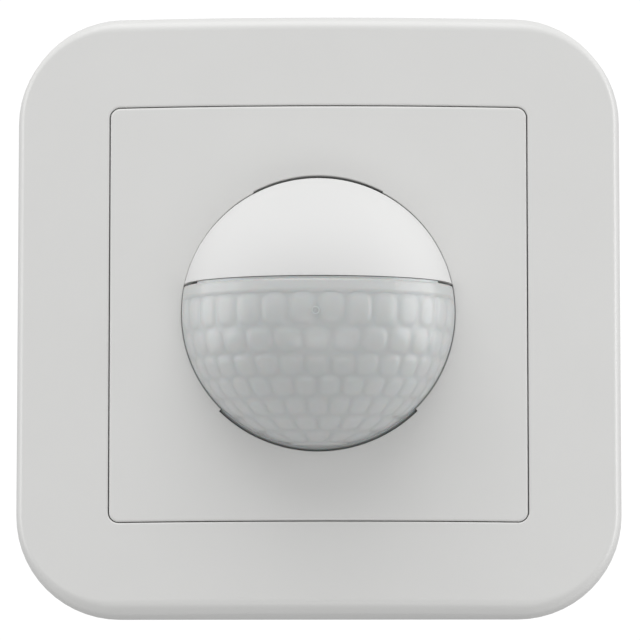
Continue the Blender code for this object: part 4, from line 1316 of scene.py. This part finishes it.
@dataclass
class SensorHead:
    """Carrier, sensor board and what stands on it."""

    trees: Trees
    finisher: Finisher
    shapes: tuple[str, ...] = (
        "head_carrier", "sensor_board", "pir_sensor_can", "pir_window", "sensor_holder", "light_sensor",
        "status_led", "header_socket",
    )

    def build(self) -> list[bpy.types.Object]:
        """Finish the nodes and populate the board."""
        pieces = [self.finisher.copy(node) for node in self.shapes]
        low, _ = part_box("sensor_board")
        board_front = -low.y
        for name, seed, size, share, finish in (
            ("sensor_board_chips", 3, (1.6, 0.8, 0.5), 0.22, Surface.black_plastic),
            ("sensor_board_joints", 8, (0.7, 0.7, 0.25), 0.3, Surface.solder),
        ):
            lift = board_front + size[2] * MM / 2
            shift = 0.6 * MM if finish is Surface.solder else 0.0
            made = self.trees.scatter.grow(
                name, Width=20.0 * MM, Height=3.6 * MM, Columns=10, Rows=3, Share=share * 2,
                Size=tuple(part * MM for part in size), Seed=seed,
                Place=(shift, -lift, -13.2 * MM - shift), Material=finish.value.material(),
            )
            pieces.append(settle(made, "sensor_board"))
        screws = (("board_screw", 0.9 * MM, 0.45 * MM), ("carrier_screw", 1.5 * MM, 0.6 * MM))
        for name, shank, pitch in screws:
            for index in (1, 2):
                pieces += Screw(f"{name}_{index}", shank, 1.3 * MM, self.trees, pitch).build()
        return pieces


@dataclass
class Dial:
    """An orange adjuster with a screwdriver slot and a serrated rim."""

    node: str
    trees: Trees
    slot_width: float = 0.8 * MM
    slot_depth: float = 0.9 * MM
    teeth: int = 28

    def build(self) -> list[bpy.types.Object]:
        """Turn the dial, cut its slot, and set its teeth."""
        low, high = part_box(self.node)
        x, z = (low.x + high.x) / 2, (low.z + high.z) / 2
        radius, top, rear = (high.x - low.x) / 2 - 0.1 * MM, -low.y, -high.y
        shoulder = top - 2.3 * MM
        profile = [(0.9 * MM, rear), (0.9 * MM, shoulder), (radius, shoulder), (radius, top - 0.3 * MM)]
        profile += [(radius - 0.09 * MM, top - 0.09 * MM), (radius - 0.3 * MM, top)]
        dished = top - 0.15 * MM
        profile += [(radius - 0.7 * MM, top), (radius - 0.85 * MM, dished), (0.3 * MM, dished)]
        made = as_object(f"{self.node}_turned", lathe(profile, (x, z), 56), Surface.of(self.node))
        half, reach = self.slot_width / 2, 2 * radius
        points = ((half, reach), (-half, reach), (-half, -reach), (half, -reach))
        loops = [
            [Vector((x + a, -forward, z + b)) for a, b in points]
            for forward in (top - self.slot_depth, top + 1.0 * MM)
        ]
        carved(made, [as_object("slot_cutter", loft(loops), Surface.of(self.node))])
        teeth = self.trees.fan.grow(
            f"{self.node}_teeth", Count=self.teeth, Radius=radius, Start=math.radians(100.0),
            Sweep=math.radians(340.0), Size=(0.16 * MM, 0.22 * MM, 1.2 * MM),
            Place=(x, -(top - 1.2 * MM), z), Material=Surface.of(self.node),
        )
        return [settle(made, self.node, self.node), settle(teeth, self.node)]


@dataclass
class AdjusterDeck:
    """The panel under the hood, its dials, slider and scales."""

    trees: Trees
    finisher: Finisher
    dials: tuple[str, ...] = ("time_dial", "lux_dial", "range_dial")
    shapes: tuple[str, ...] = (
        "adjuster_panel", "mode_slider", "mode_switch_body", "trimmer_1", "trimmer_2", "trimmer_3",
    )
    scale_radius: float = 3.35 * MM
    sweep: float = 270.0

    def build(self) -> list[bpy.types.Object]:
        """Finish the panel and print a scale round each dial."""
        pieces = [self.finisher.copy(node) for node in self.shapes]
        panel_front = -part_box("adjuster_panel")[0].y
        for node in self.dials:
            pieces += Dial(node, self.trees).build()
            low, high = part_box(node)
            scale = self.trees.fan.grow(
                f"{node}_scale", Count=10, Radius=self.scale_radius, Start=math.radians(-45.0),
                Sweep=math.radians(self.sweep), Size=(0.55 * MM, 0.14 * MM, 0.04 * MM),
                Place=((low.x + high.x) / 2, -(panel_front + 0.01 * MM), (low.z + high.z) / 2),
                Material=Surface.printed_mark.value.material(),
            )
            pieces.append(settle(scale, "adjuster_panel"))
        return pieces


# ---------------------------------------------------------------- behind the fascia

@dataclass
class Insert:
    """The housing in the wall box with its boards, relay, supply parts and terminals."""

    trees: Trees
    finisher: Finisher
    shapes: tuple[str, ...] = (
        "insert_housing", "insert_cover", "power_board", "relay", "film_capacitor",
        "electrolytic_capacitor", "varistor", "fuse_resistor", "pin_header", "terminal_block",
        "clamp_spring_1", "clamp_spring_2", "clamp_spring_3", "release_button_1", "release_button_2",
        "release_button_3",
    )
    rib_height: float = 0.3 * MM
    rib_width: float = 0.9 * MM

    def build(self) -> list[bpy.types.Object]:
        """Finish the nodes, and add ribs, strip gauge and solder."""
        pieces = [self.finisher.copy(node) for node in self.shapes]
        low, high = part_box("insert_housing")
        grey = Surface.of("insert_housing")
        depth = high.y - 12.0 * MM
        for name, edge in (("housing_ribs_top", high.z), ("housing_ribs_bottom", low.z)):
            ribs = self.trees.row.grow(
                name, Count=7, Start=(-13.5 * MM, 6.0 * MM + depth / 2, edge), Step=(4.5 * MM, 0.0, 0.0),
                Size=(self.rib_width, depth, 2 * self.rib_height), Material=grey,
            )
            pieces.append(settle(ribs, "insert_housing"))
        gauge = self.trees.row.grow(
            "strip_gauge", Count=6, Start=(-12.5 * MM, high.y - 0.1 * MM, 10.5 * MM),
            Step=(5.0 * MM, 0.0, 0.0), Size=(3.4 * MM, 0.4 * MM, 0.5 * MM), Material=grey,
        )
        pieces.append(settle(gauge, "insert_housing"))
        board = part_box("power_board")[1].y
        joints = self.trees.scatter.grow(
            "power_board_joints", Width=32.0 * MM, Height=8.0 * MM, Columns=13, Rows=4, Share=0.55,
            Size=(1.0 * MM, 1.0 * MM, 0.4 * MM), Seed=5, Place=(0.0, board + 0.2 * MM, 13.5 * MM),
            Material=Surface.solder.value.material(),
        )
        pieces.append(settle(joints, "power_board"))
        return pieces


@dataclass
class WallFittings:
    """The steel ring on the wall and the claws that spread in the box."""

    trees: Trees
    finisher: Finisher
    sides: tuple[str, ...] = ("left", "right")

    def build(self) -> list[bpy.types.Object]:
        """Finish ring, claws, pins and nuts, and turn the claw screws."""
        pieces = [self.finisher.copy("support_ring")]
        for side in self.sides:
            pieces += [self.finisher.copy(f"{name}_{side}") for name in ("claw", "claw_pin", "claw_nut")]
            pieces += Screw(f"claw_screw_{side}", 1.75 * MM, 1.6 * MM, self.trees).build()
        return pieces


# ---------------------------------------------------------------- studio

@dataclass
class Lamp:
    """A soft rectangular light aimed at the sensor."""

    name: str
    place: tuple[float, float, float]
    size: tuple[float, float]
    power: float

    def build(self) -> None:
        """Place the light and aim it at the origin."""
        data = bpy.data.lights.new(self.name, "AREA")
        data.shape = "RECTANGLE"
        data.size, data.size_y = self.size
        data.energy = self.power
        made = bpy.data.objects.new(self.name, data)
        made.location = self.place
        made.rotation_euler = Vector(self.place).to_track_quat("Z", "Y").to_euler()
        bpy.context.scene.collection.objects.link(made)


@dataclass
class Studio:
    """A pale floor, white surroundings, soft lights and the camera."""

    floor_height: float = -0.85
    distance: float = 0.884
    below: float = 0.1375
    yaw: float = 0.011
    aim: tuple[float, float, float] = (0.0, -0.005, 0.0)
    lens: float = 345.4
    shift: tuple[float, float] = (0.0022, -0.0048)
    fill: float = 0.59
    backdrop: float = 1.05
    floor_colour: Colour = (0.60, 0.60, 0.60)
    lamps: tuple[Lamp, ...] = (
        Lamp("key_above", (-0.1, -0.55, 1.05), (1.2, 0.9), 8.7),
        Lamp("low_front", (0.1, -0.95, -0.6), (1.0, 0.35), 2.0),
        Lamp("left_side", (-0.9, 0.05, 0.1), (0.8, 0.8), 3.0),
        Lamp("right_side", (0.9, 0.05, 0.1), (0.8, 0.8), 4.4),
    )

    def floor(self) -> None:
        """A large pale floor well below the sensor."""
        shape = bmesh.new()
        bmesh.ops.create_grid(shape, x_segments=8, y_segments=8, size=10.0)
        for vertex in shape.verts:
            vertex.co.z = self.floor_height
        pale = MouldedPlastic("pale_floor", self.floor_colour, 0.7, grain=2.0 * MM)
        as_object("floor", shape, pale.material(), recalculate=False)

    def surroundings(self) -> None:
        """White behind the sensor, and an even, weaker light from all sides."""
        world = bpy.data.worlds.new("studio")
        world.use_nodes = True
        bpy.context.scene.world = world
        graph = Graph(world.node_tree)
        world.node_tree.nodes.clear()
        seen = graph.node("ShaderNodeLightPath").output("Is Camera Ray")
        strength = self.fill + seen * (self.backdrop - self.fill)
        sockets = {"Color": (1.0, 1.0, 1.0, 1.0), "Strength": strength}
        ending = graph.node("ShaderNodeBackground", None, sockets)
        graph.node("ShaderNodeOutputWorld", None, {0: ending})

    def camera(self) -> None:
        """Aim a long lens from slightly below."""
        data = bpy.data.cameras.new("camera")
        data.sensor_width = 36.0
        data.lens = self.lens
        data.shift_x, data.shift_y = self.shift
        data.clip_start, data.clip_end = 0.01, 20.0
        made = bpy.data.objects.new("camera", data)
        flat = self.distance * math.cos(self.below)
        target = Vector(self.aim)
        drop = self.distance * math.sin(self.below)
        away = Vector((flat * math.sin(self.yaw), -flat * math.cos(self.yaw), -drop))
        made.location = target + away
        made.rotation_euler = away.to_track_quat("Z", "Y").to_euler()
        bpy.context.scene.collection.objects.link(made)
        bpy.context.scene.camera = made

    def build(self) -> None:
        """Set the stage."""
        self.camera()
        self.surroundings()
        self.floor()
        for lamp in self.lamps:
            lamp.build()
        bpy.context.scene.view_settings.view_transform = "Standard"


def main() -> None:
    """Build every sub-assembly in order, then the studio."""
    logging.basicConfig(level=logging.INFO, format="%(message)s")
    trees, finisher = Trees(), Finisher()
    crown, sphere = Crown(), Sphere()
    builders: tuple[Callable[[], list[bpy.types.Object]], ...] = (
        CoverFrame(crown).build,
        CentrePlate(crown).build,
        Hood(sphere).build,
        Lens(sphere, crown).build,
        ClampRing().build,
        SensorHead(trees, finisher).build,
        AdjusterDeck(trees, finisher).build,
        Insert(trees, finisher).build,
        WallFittings(trees, finisher).build,
    )
    total = 0
    for build in builders:
        pieces = build()
        total += len(pieces)
        LOG.info("%s: %d pieces", type(build.__self__).__name__, len(pieces))
    LOG.info("%d pieces in all", total)
    Studio().build()


if __name__ == "__main__":
    main()
